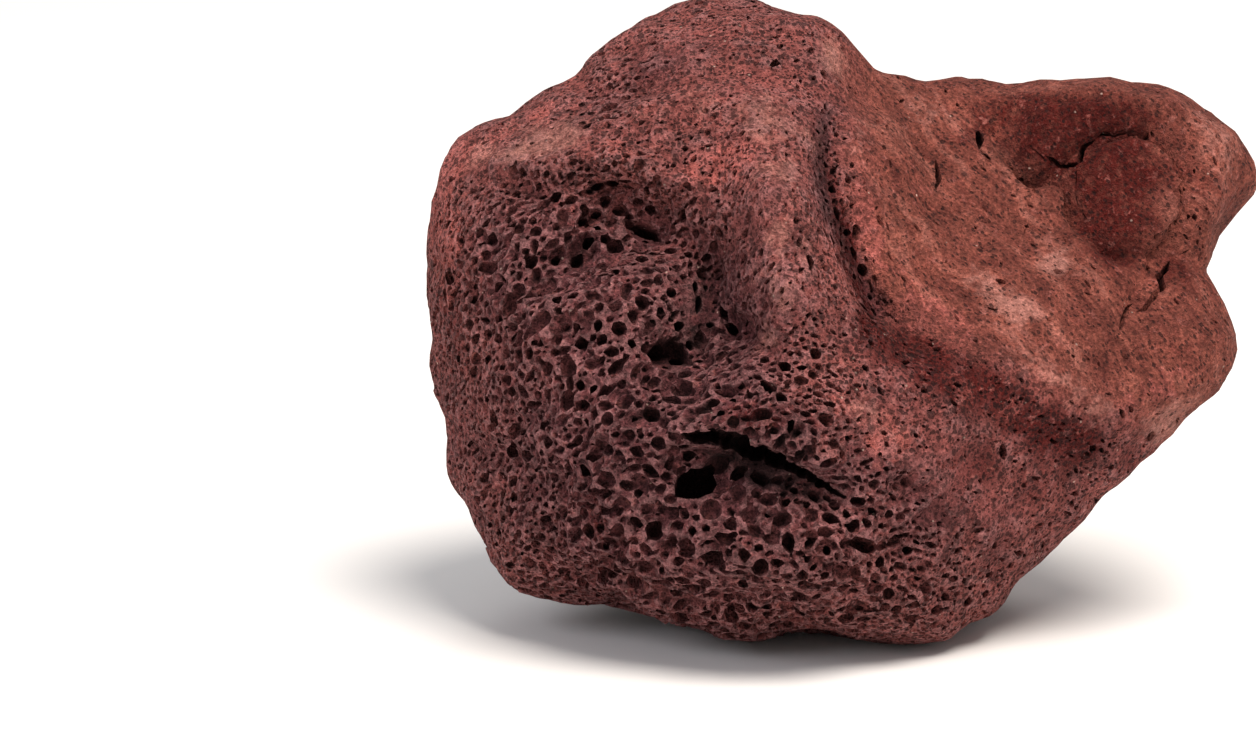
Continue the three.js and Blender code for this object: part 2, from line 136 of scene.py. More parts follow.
# Landmarks of the skin, by region
landmarks = [
    # The outline from the left shoulder over the crest to the saddle
    (-96.8, 125.8, 4), (-88.8, 130, -2), (-80, 134.3, -6), (-70, 140.8, -8), (-63.8, 145.3, -8),
    (-60, 149.5, -8), (-48.8, 155.8, -10), (-40, 160, -10), (-25, 161.3, -10), (-13.8, 158, -8),
    (-5, 156.5, -6), (2.5, 150.3, -6), (6.3, 146, -8), (11.3, 142.8, -11), (26.3, 141, -15),
    # The right lobe's curled rim, its tip, the notch and the lower lobe
    (34, 141.6, -15), (41.3, 140, -14), (51.3, 141, -14), (65, 141.3, -13), (75, 139.3, -12),
    (83.8, 136.8, -11), (91.3, 132.6, -10), (98.8, 126, -8), (104, 118.5, -5), (104.8, 113.5, -4),
    (99.5, 107, -2), (95, 102.8, 0), (93, 97, 2), (93, 92.8, 3), (95.5, 87, 6), (98.4, 79.5, 8), (99, 72, 9),
    (96.6, 65, 10), (91.5, 60, 12),
    # The outline down the right side to the foot
    (86.3, 55.5, 18), (81.3, 52.6, 18), (76.3, 46.3, 15), (67.5, 38.5, 11), (61.3, 31.6, 9), (56.3, 25.2, 9),
    (51.3, 21, 10), (42.5, 13.8, 14), (38, 7.8, 19), (32.5, 3.5, 22), (25, 0.8, 26), (15, 0.3, 28),
    (7.5, 1.3, 29), (-2.5, 3, 30), (-12.5, 3, 30), (-22.5, 1.3, 30), (-30, 2.8, 29), (-37.5, 4.5, 27),
    (-45, 5.8, 25), (-50, 8.8, 20), (-67.5, 10.5, 12),
    # The outline up the left side
    (-81, 15, 8), (-90, 27, 4), (-96.5, 43, 0), (-100.5, 60.8, 0), (-102.5, 76, 0), (-103.5, 95.8, 4),
    (-102, 106, 7), (-100.8, 112, 9),
    # The slope from the crest down to the left shoulder's edge
    (-35, 150.8, 14), (-50, 143, 16), (-70, 133, 15), (-85, 125.8, 15), (-17.5, 149.5, 14), (-4.5, 148.5, 11),
    (-37.5, 130.8, 33), (-55, 123, 36), (-70, 119.5, 33), (-85, 115.8, 28), (-95, 115.8, 17),
    # The hollow under the left shoulder and the swelling below it
    (-98.8, 95.8, 16), (-90, 95.8, 31), (-75, 103, 39), (-60, 107, 37), (-50, 102, 36), (-37.5, 110.8, 40),
    (-97.5, 78, 18), (-85, 80.8, 38), (-70, 85.8, 49), (-55, 85.8, 54),
    # The nose: a blunt ridge from the crest down to the lip, with a valley on its left
    (-20, 133, 36), (-10, 123, 42), (-25, 113, 46), (-12.5, 110.8, 52), (-40, 84, 49), (-35, 90, 46),
    (-24, 90, 54), (-10, 88, 60), (2.5, 83, 54), (-37.5, 70.8, 52), (-25, 65.8, 62), (-10, 65.8, 66),
    (5, 63, 62),
    # The crust face right of the nose, hollowed like a saddle
    (5, 138, 8), (5, 120.8, 31), (15, 115.8, 24), (22.5, 133, 2), (30, 113, 15), (36, 131, -1), (5, 101, 41),
    (15, 98, 34), (30, 95.8, 26), (47.5, 98, 20), (52, 116, 9), (25, 78, 43), (42.5, 80.8, 38), (60, 80.8, 32),
    (75, 78, 29),
    # The right lobe: a thick rim round a sunken disc
    (52.5, 132, 5), (72.5, 134, 6), (90, 127, 6), (98, 116, 6), (60, 121, 9), (72.5, 111, 11), (90, 110.8, 14),
    (66, 99, 19), (77, 96, 17), (88, 95.8, 15), (90, 78, 24),
    # The edge where the crust face turns down to the lower right face
    (20, 66, 55), (32.5, 68, 50), (50, 63, 43), (65, 58.5, 37), (80, 58.5, 28),
    # The lower left flank and the lip that overhangs the front
    (-95, 60.8, 16), (-80, 63, 42), (-62.5, 65.8, 57), (-47.5, 68, 58), (-85, 43, 26), (-70, 45.8, 47),
    (-52.5, 48, 60), (-35, 54, 66), (-20, 55, 70), (-5, 49, 68), (7.5, 45.8, 61), (25, 50.8, 55), (40, 52, 46),
    (55, 45.8, 35), (67.5, 43, 25),
    # The swelling below the lip, down to the foot
    (-35, 45, 60), (-20, 45, 61), (-5, 38, 61), (-70, 25.8, 38), (-55, 28, 54), (-37.5, 33, 62),
    (-22.5, 34, 64), (-5, 29, 64), (12.5, 30.8, 57), (30, 35.8, 46), (45, 33, 34), (-55, 13, 34), (-35, 14, 50),
    (-15, 13, 54), (5, 12, 50), (25, 14, 42), (38, 20, 30),
    # The underside, most of it cut off by the flat that the stone rests on
    (-7, 3.5, 14), (-5, 1, -5), (-27, 1.5, 0), (20, 1, 2), (-12, 3, -28), (20, 5, -26), (-46, 10, -8),
    (42, 15, -6), (-66, 18, -14), (-38, 10, -31), (-12, 8, -42), (15, 10, -38), (56, 38, -14),
    # The back, in broad faces that meet on a blunt edge
    (-10, 88, -68), (-42, 78, -65), (30, 82, -58), (-78, 82, -40), (60, 88, -42), (-20, 122, -50),
    (-56, 120, -44), (20, 118, -47), (-8, 46, -63), (-46, 42, -52), (30, 46, -50), (62, 60, -34),
    (-82, 46, -30), (84, 108, -30), (82, 76, -22), (-91, 97, -22), (-30, 148, -30), (-66, 138, -24),
    (44, 130, -34), (70, 127, -28), (5, 138, -30), (-90, 117, -14), (-14, 16, -53), (20, 21, -44),
    (-52, 22, -40), (50, 30, -24), (93, 112, -22), (86, 89, -17), (-100, 77, -14), (-93, 50, -16),
    (74, 58, -12),
]

shape = {
    "roundness": 0.085,  # how gently the skin bends at a landmark, as a share of its radius
    "fineness": 7,  # subdivisions of the ball that the skin is stretched over
    # Broken faces on the hidden sides: the way each one faces and its distance from the heart
    "brokenFaces": [
        ((-0.25, 0.15, -0.95), 44), ((0.5, -0.05, -0.86), 38), ((-0.78, -0.12, -0.6), 79),
        ((-0.4, 0.6, -0.7), 60.5), ((0.25, 0.7, -0.67), 47), ((-0.45, -0.66, -0.6), 73.5),
        ((0.38, -0.68, -0.62), 57),
    ],
    "faceReach": 0.2,  # the least cosine between a broken face's way and a radius that it cuts
    "edgeRounding": 4.0,
    "broadLumps": 0.5, "narrowLumps": 0.3, "crustLess": 0.55,  # mm, and how much lower they are in the crust
    "batch": 8000,  # radii worked out at a time
    # Furrows in the front: a path of (right, up), how wide and how deep
    "furrows": [
        ([(-3, 127), (1, 112), (5, 98), (10, 83), (18, 74)], 4.5, 2.6),  # beside the nose
        ([(-62, 114), (-54, 109), (-46, 101)], 5, 3),  # under the left shoulder
        ([(-36, 93), (-37, 82), (-41, 72)], 5, 3.4),  # left of the nose
        ([(49, 124), (56, 119.5), (61, 125), (70, 129), (80, 126)], 3.6, 2.4),  # above the disc
        ([(58, 114), (65, 103), (74, 97), (81, 93)], 4, 2),  # below the disc
    ],
}

arms = seen(landmarks) - heart
reach = np.linalg.norm(arms, axis=1)
rays = unit(arms)


def bend(a, b):
    return np.sqrt(np.maximum(2 - 2 * a @ b.T, 0) + shape["roundness"] ** 2)


pulls = np.linalg.solve(bend(rays, rays), reach)


def softLesser(a, b):
    share = np.clip(0.5 + (b - a) / (2 * shape["edgeRounding"]), 0, 1)
    return b + (a - b) * share - shape["edgeRounding"] * share * (1 - share)


def pathDistance(spots, path):
    nearest = np.full(len(spots), np.inf)
    for start, end in zip(np.array(path[:-1], float), np.array(path[1:], float)):
        along = end - start
        share = np.clip((spots - start) @ along / (along @ along), 0, 1)
        nearest = np.minimum(nearest, np.linalg.norm(spots - start - share[:, None] * along, axis=1))
    return nearest


crustEdge = {"right": (-8, 12), "up": (78, 96), "lean": 0.45, "near": (-30, -10)}  # mm over which it sets in


def crustShare(points):  # how far a point belongs to the smooth crust of the right side
    x, y, z = points.T
    above = ramp(y + crustEdge["lean"] * x, *crustEdge["up"])
    return ramp(x, *crustEdge["right"]) * above * ramp(z, *crustEdge["near"])


def formRadius(ways):  # the stone's large form, as its solid has it
    parts = np.array_split(ways, 1 + len(ways) // shape["batch"])
    radius = np.concatenate([bend(part, rays) @ pulls for part in parts])
    for facing, distance in shape["brokenFaces"]:
        slope = ways @ unit(np.array(facing))
        cut = softLesser(radius, distance / np.maximum(slope, shape["faceReach"]))
        radius = np.where(slope > shape["faceReach"], cut, radius)
    points = heart + ways * radius[:, None]
    x, y, z = points.T
    # Two sets of crossing waves, divided by their lengths in mm as in the solid
    broad = np.sin(x / 6.1 + y / 9.7) + np.sin(y / 5.3 - z / 7.9) + np.sin(z / 5.9 + x / 11.3)
    narrow = np.sin(x / 3.1 - z / 4.3) + np.sin(y / 2.9 + x / 3.7) + np.sin(z / 3.3 - y / 4.1)
    lumps = shape["broadLumps"] * broad + shape["narrowLumps"] * narrow
    radius = radius + lumps * (1 - shape["crustLess"] * crustShare(points))
    spots = sighted(points)
    for path, wide, deep in shape["furrows"]:
        radius = radius - (z >= 0) * deep * np.exp(-((pathDistance(spots, path) / wide) ** 2))
    return radius


# Where each finish, and the painted shade, lies on the front, as soft ovals: (right, up), half width, half height,
# slant, strength
zones = {
    "coarse": [  # extra bubble radius in mm
        ((-30, 22), 46, 24, -6, 0.9), ((-54, 84), 28, 24, 0, 0.45), ((-46, 58), 30, 18, 0, 0.35),
        ((-76, 92), 20, 26, 0, 0.3), ((-22, 46), 22, 14, -20, 0.25), ((-56, 107), 14, 8, 0, 0.4),
        ((-54, 136), 26, 8, 28, 0.2), ((-30, 122), 12, 6, 10, 0.12), ((-92, 84), 12, 26, 0, 0.22),
        ((-82, 124), 22, 5, 16, -0.35), ((-8, 66), 10, 10, -20, 0.2), ((-40, 75), 8, 10, 0, 0.3),
        ((30, 38), 16, 12, -30, -0.3), ((1, 104), 3, 20, 14, 0.35), ((-34, 144), 12, 8, 30, -0.3),
        ((-8, 128), 12, 14, 0, -0.2),
    ],
    "foam": [  # the dark purple-brown rock between the coarse bubbles
        ((-58, 92), 34, 24, 0, 0.8), ((-34, 26), 56, 30, -4, 0.85), ((-80, 96), 14, 18, 0, 0.5),
        ((-50, 55), 40, 24, 0, 0.8), ((-30, 78), 14, 22, 0, 0.7), ((-50, 141), 16, 5, 30, 0.6),
        ((20, 34), 16, 10, -20, 0.6), ((-14, 50), 14, 7, -20, 0.9),
    ],
    "red": [  # deep red, where the rock is most oxidised
        ((71, 113), 13, 14, 0, 1.35), ((48, 124), 12, 8, -40, 0.8), ((64, 131), 24, 6, 0, 0.72),
        ((96, 115), 8, 14, 0, 0.6), ((1, 103), 3, 26, 14, 0.9), ((24, 69), 22, 7, -30, 0.98),
        ((32, 128), 9, 7, 0, 0.5), ((52, 137), 18, 3, 0, 0.35), ((56, 53), 24, 8, -27, 0.88),
        ((-98, 92), 9, 34, 0, 0.54), ((40, 40), 30, 12, -30, 0.5), ((84, 92), 8, 7, 0, 0.6),
        ((66, 97), 14, 4, -35, 0.4), ((-60, 26), 15, 20, 0, 0.58), ((-20, 56), 16, 5, -8, 0.7),
    ],
    "shade": [  # painted shade in hollows, under the lip and on a few patches; below 0 it takes painted shade away
        ((-38, 79), 8, 11, 0, 0.5), ((-66, 97), 7, 5, 0, 0.15), ((-20, 43.6), 17, 4.4, -25, 0.84),
        ((-32, 56), 14, 5, -5, 0.56), ((-10, 50), 8, 4, -30, 0.4), ((-28, 97), 8, 7, 0, -0.5),
        ((-24, 82), 5, 6, 0, -0.4), ((8.5, 84), 4.5, 11, 10, -0.4), ((-50, 106), 10, 5, 0, -0.3),
        ((40, 122.5), 5, 5, 0, 0.6), ((-68, 130.5), 9, 4, 25, 0.56), ((26, 131), 11, 4, 0, 0.56),
    ],
    "flush": [  # brighter orange red
        ((-31, 119.5), 10, 5, 25, 1.5), ((-92, 122), 12, 5, 25, 0.6), ((-68, 138), 8, 4, 32, 0.6),
        ((-76, 132), 5, 3.5, 30, 0.8), ((-99, 104), 5, 22, 0, 0.8), ((-35, 131), 4, 3, 0, 0.6),
        ((-14, 107), 6, 7, 0, 0.7), ((19, 88), 12, 5, -38, 0.45), ((11, 51), 8, 7, -20, 1.1),
        ((78, 62), 12, 5, 25, 0.55), ((46, 69), 24, 5, -34, 0.4), ((34, 63), 22, 6, -30, 0.45),
        ((28, 81), 8, 5, -40, 0.4), ((88, 68), 9, 9, 0, 0.15), ((98, 112), 7, 10, 0, 0.35),
        ((1, 60), 8, 6, 0, 0.4), ((18, 116), 10, 12, 0, 0.4), ((6.5, 104), 3.5, 15, 14, 0.75),
        ((-2, 48), 6, 4, -30, 0.6), ((-8, 66), 10, 6, -20, 0.35),
    ],
    "pale": [  # dusty pink and tan
        ((-12, 118), 9, 18, 14, 0.44), ((11, 51), 9, 7, -20, 0.5), ((5, 59), 5, 3, 0, 0.6),
        ((-22, 131), 12, 8, 0, 0.55), ((-1, 147), 5, 7, 0, 0.8), ((46, 83), 10, 4.4, -20, 0.9),
        ((54, 95), 5, 5, 0, 0.85), ((35.6, 91), 6, 5, 0, 0.45), ((-80, 124), 22, 7, 16, 0.72),
        ((-45, 134), 16, 5, 15, 0.4), ((60, 63), 24, 5, -32, 0.6), ((83, 57), 8, 6, 30, 0.7),
        ((90, 128), 14, 8, -30, 0.5), ((94, 113), 6, 11, 0, 0.45), ((20, 133), 16, 8, 0, 0.4),
        ((-16, 96), 9, 18, 8, 0.5), ((-18, 76), 10, 10, 0, 0.35), ((65, 103.5), 7, 3, -40, 0.55),
        ((2, 127), 7, 12, 10, 0.4),
    ],
}


def ovals(points, rows):
    spots = sighted(points)
    total = np.zeros(len(points))
    for (right, up), wide, high, slant, strength in rows:
        turn = math.radians(slant)
        offset = spots - (right, up)
        across = offset @ (math.cos(turn), math.sin(turn))
        along = offset @ (-math.sin(turn), math.cos(turn))
        total += strength * np.exp(-((across / wide) ** 2) - (along / high) ** 2)
    return total * ramp(points[:, 2], *fades["zones"])


def hidden(points):  # 1 where the front's survey says nothing
    return ramp(-points[:, 2], *fades["hidden"])


patches = {
    "fray": 0.5, "fraySize": 8, "frayLayers": 4, "least": 0.03,  # how much, mm, and the weakest share that frays
    "edge": (0.25, 0.8), "fill": 1.3,
    # The same finishes in random patches on the hidden sides: the strongest that each gets there
    "hidden": {"red": 0.7, "flush": 0.7, "pale": 0.6}, "hiddenSize": 20, "hiddenEdge": (0.15, 0.75),
    "seeds": (70, 80),  # of the hidden patches and of the fraying
}


def ragged(share, points, seed):  # a soft patch with a broken edge
    fray = patches["fray"] * roughNoise(points, patches["fraySize"], seed, patches["frayLayers"])
    full = np.clip(patches["fill"] * share, 0, 1)
    return ramp(share + fray * (share > patches["least"]), *patches["edge"]) * full


groove = {
    "path": [(-3.6, 132), (-5, 121), (-4.4, 113), (-3, 107.6), (0.6, 102.5), (3, 95), (6, 89), (8.6, 83)],
    "half": 2.8, "uneven": 0.5,  # mm, and the share by which that varies
}


def inGroove(points):  # the pitted line beside the nose, dark partly from its own colour and partly from painted shade
    half = groove["half"] * (1 + groove["uneven"] * roughNoise(points, *noises["grooveEdge"]))
    near = np.exp(-((pathDistance(sighted(points), groove["path"]) / half) ** 2))
    return near * ramp(points[:, 2], *fades["groove"])


sides = {  # crust and foam where the survey says nothing
    "stray": 14, "strayNoise": (16, 46),  # mm by which the crust's edge wanders, its size in mm and seed
    "crustFrom": (0.25, 0.7), "crustMost": 0.8,
    "crustRight": 0.012,  # more of it for each mm to the right
    "foamFrom": (-0.3, 0.5), "foamMost": 0.85,
    "crustFray": 0.35, "foamFray": 0.3,
}


def finishes(points):
    away = hidden(points)
    uneven = roughNoise(points, *noises["sides"])
    strayed = points + away[:, None] * sides["stray"] * softNoise(points, *sides["strayNoise"])[:, None]
    beyond = away * ramp(uneven + sides["crustRight"] * points[:, 0], *sides["crustFrom"]) * sides["crustMost"]
    crust = np.maximum(crustShare(strayed), beyond)
    crust = crust * (1 - inGroove(points))
    fray = sides["crustFray"] * roughNoise(points, *noises["crustEdge"])
    crust = np.clip(crust + fray * 4 * crust * (1 - crust), 0, 1)
    beyond = away * ramp(-uneven, *sides["foamFrom"]) * sides["foamMost"]
    foam = ovals(points, zones["foam"]) + beyond + inGroove(points)
    foam = np.clip(foam + sides["foamFray"] * roughNoise(points, *noises["foamEdge"]), 0, 1) * (1 - crust)
    found = {"crust": crust, "foam": foam}
    hiddenSeed, fraySeed = patches["seeds"]
    for index, (name, most) in enumerate(patches["hidden"].items()):
        spread = ramp(roughNoise(points, patches["hiddenSize"], hiddenSeed + index), *patches["hiddenEdge"])
        found[name] = ragged(ovals(points, zones[name]) + away * spread * most, points, fraySeed + index)
    return found


# Folds that are too fine for the form: a path of (right, up), how wide and how far out
folds = [
    (groove["path"][1:], 3.2, -4.4), ([(6, 88), (14, 80), (24, 72)], 4, -2.4),  # beside the nose
    ([(-36, 93), (-36, 82), (-41, 73)], 6.5, -6.2), ([(-62, 107), (-50, 103)], 7, -4.6),
    ([(-72, 95), (-61, 99)], 5, -5), ([(-84, 119), (-64, 119.5), (-50, 118.5), (-40, 114)], 3.4, 3),
    ([(-20, 118), (-14, 100), (-12, 84)], 8, 2.4), ([(-80, 113), (-60, 111), (-46, 109)], 4.4, -3),
    ([(-78, 88), (-66, 86), (-52, 79)], 6, 2), ([(-30, 72), (-20, 66), (-12, 58)], 5, 1.6),
    ([(-24, 79), (-16, 70)], 4, -2.4),
    ([(-40, 56.5), (-24, 56.5), (-12, 51), (-3, 45.5), (6, 39)], 5, 2.8),  # the lip
    ([(-34, 45.5), (-26, 45), (-14, 42), (-4, 36)], 4.4, -4),
    ([(38, 138), (52, 137.5), (66, 137), (80, 133), (92, 124)], 5, 3.4),  # the brow and what it hangs over
    ([(43, 132), (47, 126), (52, 119.5)], 4.6, -8), ([(50, 130), (60, 132), (74, 132)], 2.2, 2.4),
    ([(51, 120), (56.6, 119.6), (60.4, 122.6), (64, 126), (70, 127.6), (77, 126.6), (82, 122)], 2.1, -5.5),
    ([(58.4, 117), (58.6, 112), (61.4, 106), (67, 100.6), (73, 97)], 2.6, -5.5),
    ([(54, 114.5), (55.6, 111)], 2.4, 2), ([(37, 127), (40, 123), (43, 117)], 4, -3),
    ([(22, 124), (24, 114)], 3, -1.5), ([(86, 97), (80, 92), (76, 85)], 3.8, -3.4),
    ([(80, 124.4), (84, 120.6), (87, 115), (87.4, 108), (84.6, 101), (80, 97)], 1.7, -3.3),
    ([(52, 134.4), (66, 134), (80, 130.6)], 1.2, -1.7),
    ([(48, 131.6), (57, 128.6), (70, 130), (84, 128.4)], 1.1, -1.8), ([(30, 100), (46, 88), (64, 74)], 9, 1.2),
    ([(66, 60), (84, 66), (94, 76)], 6, 1.2), ([(52, 133), (66, 132.5), (80, 129)], 1.1, -0.9),
    ([(50, 129), (58, 130.5), (72, 131)], 1, -0.8), ([(44, 136), (60, 135.4), (78, 133)], 1.5, 1.3),
    ([(48, 133), (62, 131.8), (80, 130.2)], 1.4, 1.4), ([(51, 121.5), (55, 120), (60, 121.4)], 3, -3),
    ([(50, 127), (60, 127.2), (68, 129.8), (80, 129)], 1.4, 1.2), ([(86, 126), (94, 118)], 2.4, 1),
    ([(90, 112), (91, 103)], 2, 0.9), ([(44, 108), (52, 98), (60, 90)], 3, 1.3),
    ([(26, 112), (38, 98), (50, 88)], 3, 1.2), ([(18, 126), (28, 110), (36, 98)], 2.6, -1.1),
    ([(34, 84), (50, 74), (66, 66)], 3, -1.2), ([(60, 76), (74, 70), (86, 72)], 2.6, -1.1),
    ([(12, 130), (16, 112), (22, 98)], 3, 1.2),
]
edges = [  # the same for the outline, where the skin turns away
    ([(-103, 104), (-103, 90)], 5, 0.6), ([(-99, 121), (-98, 117)], 4, -0.5),
    ([(-96, 126), (-91, 129.5)], 3, 0.7), ([(-80, 136.5), (-66, 142)], 4, -1.2),
    ([(-52, 153), (-34, 160)], 6, -0.9), ([(-5, 155), (1, 152)], 4, 1), ([(16, 141), (24, 140.5)], 4, 0.7),
    ([(33, 141.5), (41, 140.5)], 3, -0.5), ([(50, 139.5), (70, 138.5)], 5, -0.6),
    ([(74, 138), (90, 133)], 5, -0.8), ([(99, 126), (105, 119)], 4, 0.9), ([(98, 103), (103, 109)], 4, -3.4),
    ([(98.6, 81), (98, 76)], 4, -0.5), ([(95, 93.4), (92, 92.8)], 2.4, -1.7), ([(90, 60), (86, 56)], 4, -1),
    ([(65, 34), (61, 31)], 4, -0.5),
]
# Ridges that the crust flowed into: the way they run, width in mm, times as long, height in mm
flow = {"way": (0.58, -0.31, -0.75), "wide": 5.0, "drawn": 3.4, "rise": 0.95, "seed": 37}
# The disc in the lobe: its middle and half sizes, how far it stands out of the folds round it, and its soft edge
disc = {"middle": (71.6, 113.0), "half": (12.4, 14.2), "rise": 3.8, "soft": 0.22}


relief = {  # mm
    "froth": 0.9, "creases": 0.9, "level": 0.3,
    "crests": 1.2, "hollows": 4.6, "hiddenFoam": 0.5,  # in the foam, and how much of it the hidden sides have
    "crustGrain": 0.3, "crustSwell": 0.4,
}


def skinRadius(ways):  # the form with the relief that its bubbles are cut into
    radius = formRadius(ways)
    points = heart + ways * radius[:, None]
    crust = crustShare(points)
    front, edge = (ramp(points[:, 2], *fades[name]) for name in ("folds", "edges"))
    spots = sighted(points)
    for rows, share in ((folds, front), (edges, edge)):
        for path, wide, rise in rows:
            radius = radius + share * rise * np.exp(-((pathDistance(spots, path) / wide) ** 2))
    out = np.linalg.norm((spots - disc["middle"]) / disc["half"], axis=1)
    radius = radius + front * disc["rise"] * ramp(1 - out, -disc["soft"] / 2, disc["soft"])
    coarse = relief["froth"] * roughNoise(points, *noises["froth"])
    coarse = coarse - relief["creases"] * np.abs(roughNoise(points, *noises["creases"])) + relief["level"]
    foam = np.clip(ovals(points, zones["foam"]) + relief["hiddenFoam"] * hidden(points), 0, 1)
    hollows = relief["hollows"] * np.abs(roughNoise(points, *noises["hollows"]))  # with crests between them
    coarse = coarse + foam * (relief["crests"] - hollows)
    way = unit(np.array(flow["way"]))
    drawn = points - (points @ way)[:, None] * way * (1 - 1 / flow["drawn"])
    smooth = sum(relief[name] * roughNoise(points, *noises[name]) for name in ("crustGrain", "crustSwell"))
    smooth = smooth + flow["rise"] * roughNoise(drawn, flow["wide"], flow["seed"])
    return radius + coarse * (1 - crust) + smooth * crust


def meshOf(name, points, faces):
    mesh = bpy.data.meshes.new(name)
    mesh.from_pydata([tuple(point) for point in points], [], faces)
    mesh.validate()
    made = bpy.data.objects.new(name, mesh)
    bpy.context.collection.objects.link(made)
    return made


def makeSkin():
    ball = bmesh.new()
    bmesh.ops.create_icosphere(ball, subdivisions=shape["fineness"], radius=1)
    ways = unit(np.array([vertex.co[:] for vertex in ball.verts]))
    faces = [[vertex.index for vertex in face.verts] for face in ball.faces]
    ball.free()
    points = heart + ways * skinRadius(ways)[:, None]
    return points, faces


def treeOf(points):  # finds the nearest of them
    tree = kdtree.KDTree(len(points))
    for index, point in enumerate(points):
        tree.insert(point, index)
    tree.balance()
    return tree


skinPoints, skinFaces = makeSkin()
corners = skinPoints[np.array(skinFaces)]
crossings = np.cross(corners[:, 1] - corners[:, 0], corners[:, 2] - corners[:, 0])
skinAreas = np.linalg.norm(crossings, axis=1) / 2
skinNormals = np.zeros_like(skinPoints)
for corner in range(3):
    np.add.at(skinNormals, np.array(skinFaces)[:, corner], crossings)
skinNormals = unit(skinNormals)
skinTree = BVHTree.FromPolygons([tuple(point) for point in skinPoints], skinFaces)
skinSpots = treeOf(skinPoints)
print("skin:", len(skinFaces), "faces,", round(skinAreas.sum() / 100), "cm2")
nearSkin = 3  # mm round a spot whose normals are averaged


def skinAt(right, up):  # where the sight line meets the skin, and the normal there
    target = seen([(right, up, 0)])[0]
    place = skinTree.ray_cast(Vector(eye), Vector(target - eye).normalized())[0]
    near = [index for _, index, _ in skinSpots.find_range(place, nearSkin)]
    return np.array(place), unit(skinNormals[near].mean(axis=0))


# Larger cuts: the cracks and the flat
cuts = {
    "cracks": [  # path of (right, up), width at the skin, depth
        ([(51.3, 122), (55, 119), (59.3, 120), (60.8, 123.3), (63.8, 126.3)], 2, 4),
        ([(63.8, 126.3), (68.8, 127.6), (73.8, 127.4), (78, 125.4)], 1.3, 3),
        ([(59.6, 118.8), (58.6, 116), (59, 113.5)], 1.4, 2.5),
        ([(34.8, 127.8), (34.8, 123.8), (36.6, 121.2)], 1.8, 4),
        ([(23.8, 121), (24.6, 117), (24.2, 112.6)], 1.8, 4),
        ([(82.4, 95.6), (79.9, 92), (80.6, 89.2), (78.3, 86.9), (76, 83.6), (73.6, 82.6)], 2.2, 5),
        ([(73, 85), (71, 81.3), (70, 78)], 2.1, 4),
        ([(58.8, 113), (59.6, 109), (62.4, 105.6)], 1, 1.6), ([(46.6, 126), (49, 123), (52, 119.6)], 1.2, 1.8),
        ([(75.6, 82.6), (74.4, 81.4), (75.4, 80), (77, 81)], 0.9, 1.6), ([(84.5, 96.8), (87.4, 98.6)], 1.2, 2),
    ],
    "stationGap": 1.1,  # mm between the stations of a cut
    "waver": 0.55, "waverNoise": (1.5, 3),  # mm that they stray, its size in mm and seed
    "uneven": 0.4, "unevenNoise": (2, 4),  # how much the width varies
    "tip": 0.25, "taper": 2.5,  # the share of the width at an end, and stations from there to the full width
    "above": 2,  # mm that a cutter stands out of the skin
    "block": 0.4,  # m, the side of the block below the flat
}


def alongPath(rows, gap):  # the rows and as many between them as the gap asks for
    rows = np.array(rows, float)
    result = [rows[0]]
    for start, end in zip(rows[:-1], rows[1:]):
        steps = max(1, round(np.linalg.norm(end[:2] - start[:2]) / gap))
        result += [start + (end - start) * (i + 1) / steps for i in range(steps)]
    return np.array(result)


def loft(name, rings):  # a closed skin through rings of equally many points
    around = len(rings[0])
    faces = []
    for i in range(len(rings) - 1):
        for j in range(around):
            a, b = i * around + j, i * around + (j + 1) % around
            faces.append((a, b, b + around, a + around))
    last = (len(rings) - 1) * around
    faces += [tuple(range(around))[::-1], tuple(range(last, last + around))]
    made = meshOf(name, moved(np.concatenate(rings), toRow), faces)
    shell = bmesh.new()
    shell.from_mesh(made.data)
    bmesh.ops.triangulate(shell, faces=shell.faces)
    bmesh.ops.recalc_face_normals(shell, faces=shell.faces)
    shell.to_mesh(made.data)
    shell.free()
    return made


def directions(points):
    return unit(np.gradient(points, axis=0))


def makeCrack(name, path, wide, deep):
    rows = alongPath(path, cuts["stationGap"])
    hits = [skinAt(*row) for row in rows]
    mouths = np.array([place for place, _ in hits])
    normals = np.array([normal for _, normal in hits])
    sideways = unit(np.cross(normals, directions(mouths)))
    station = np.arange(len(rows))
    taper = np.clip(np.minimum(station, station[::-1]) / cuts["taper"] + cuts["tip"], 0, 1)
    mouths = mouths + sideways * (softNoise(mouths, *cuts["waverNoise"]) * cuts["waver"])[:, None]
    half = wide / 2 * taper * (1 + cuts["uneven"] * softNoise(mouths, *cuts["unevenNoise"]))
    rings = [np.array([mouth - across * side + normal * cuts["above"], mouth - normal * deep * share,
                       mouth + across * side + normal * cuts["above"]])
             for mouth, across, normal, side, share in zip(mouths, sideways, normals, half, taper)]
    return loft(name, rings)


cutters = bpy.data.collections.new("larger cuts")
cutPieces = [makeCrack(f"crack{i + 1}", *row) for i, row in enumerate(cuts["cracks"])]
block = bmesh.new()
bmesh.ops.create_cube(block, size=cuts["block"], matrix=Matrix.Translation((0, 0, -cuts["block"] / 2)))
bmesh.ops.triangulate(block, faces=block.faces)
blockFaces = [[vertex.index for vertex in face.verts] for face in block.faces]
ground = meshOf("below", [vertex.co[:] for vertex in block.verts], blockFaces)
block.free()
cutPieces.append(ground)
for piece in cutPieces:
    bpy.context.collection.objects.unlink(piece)
    cutters.objects.link(piece)
print("larger cuts:", len(cutPieces))

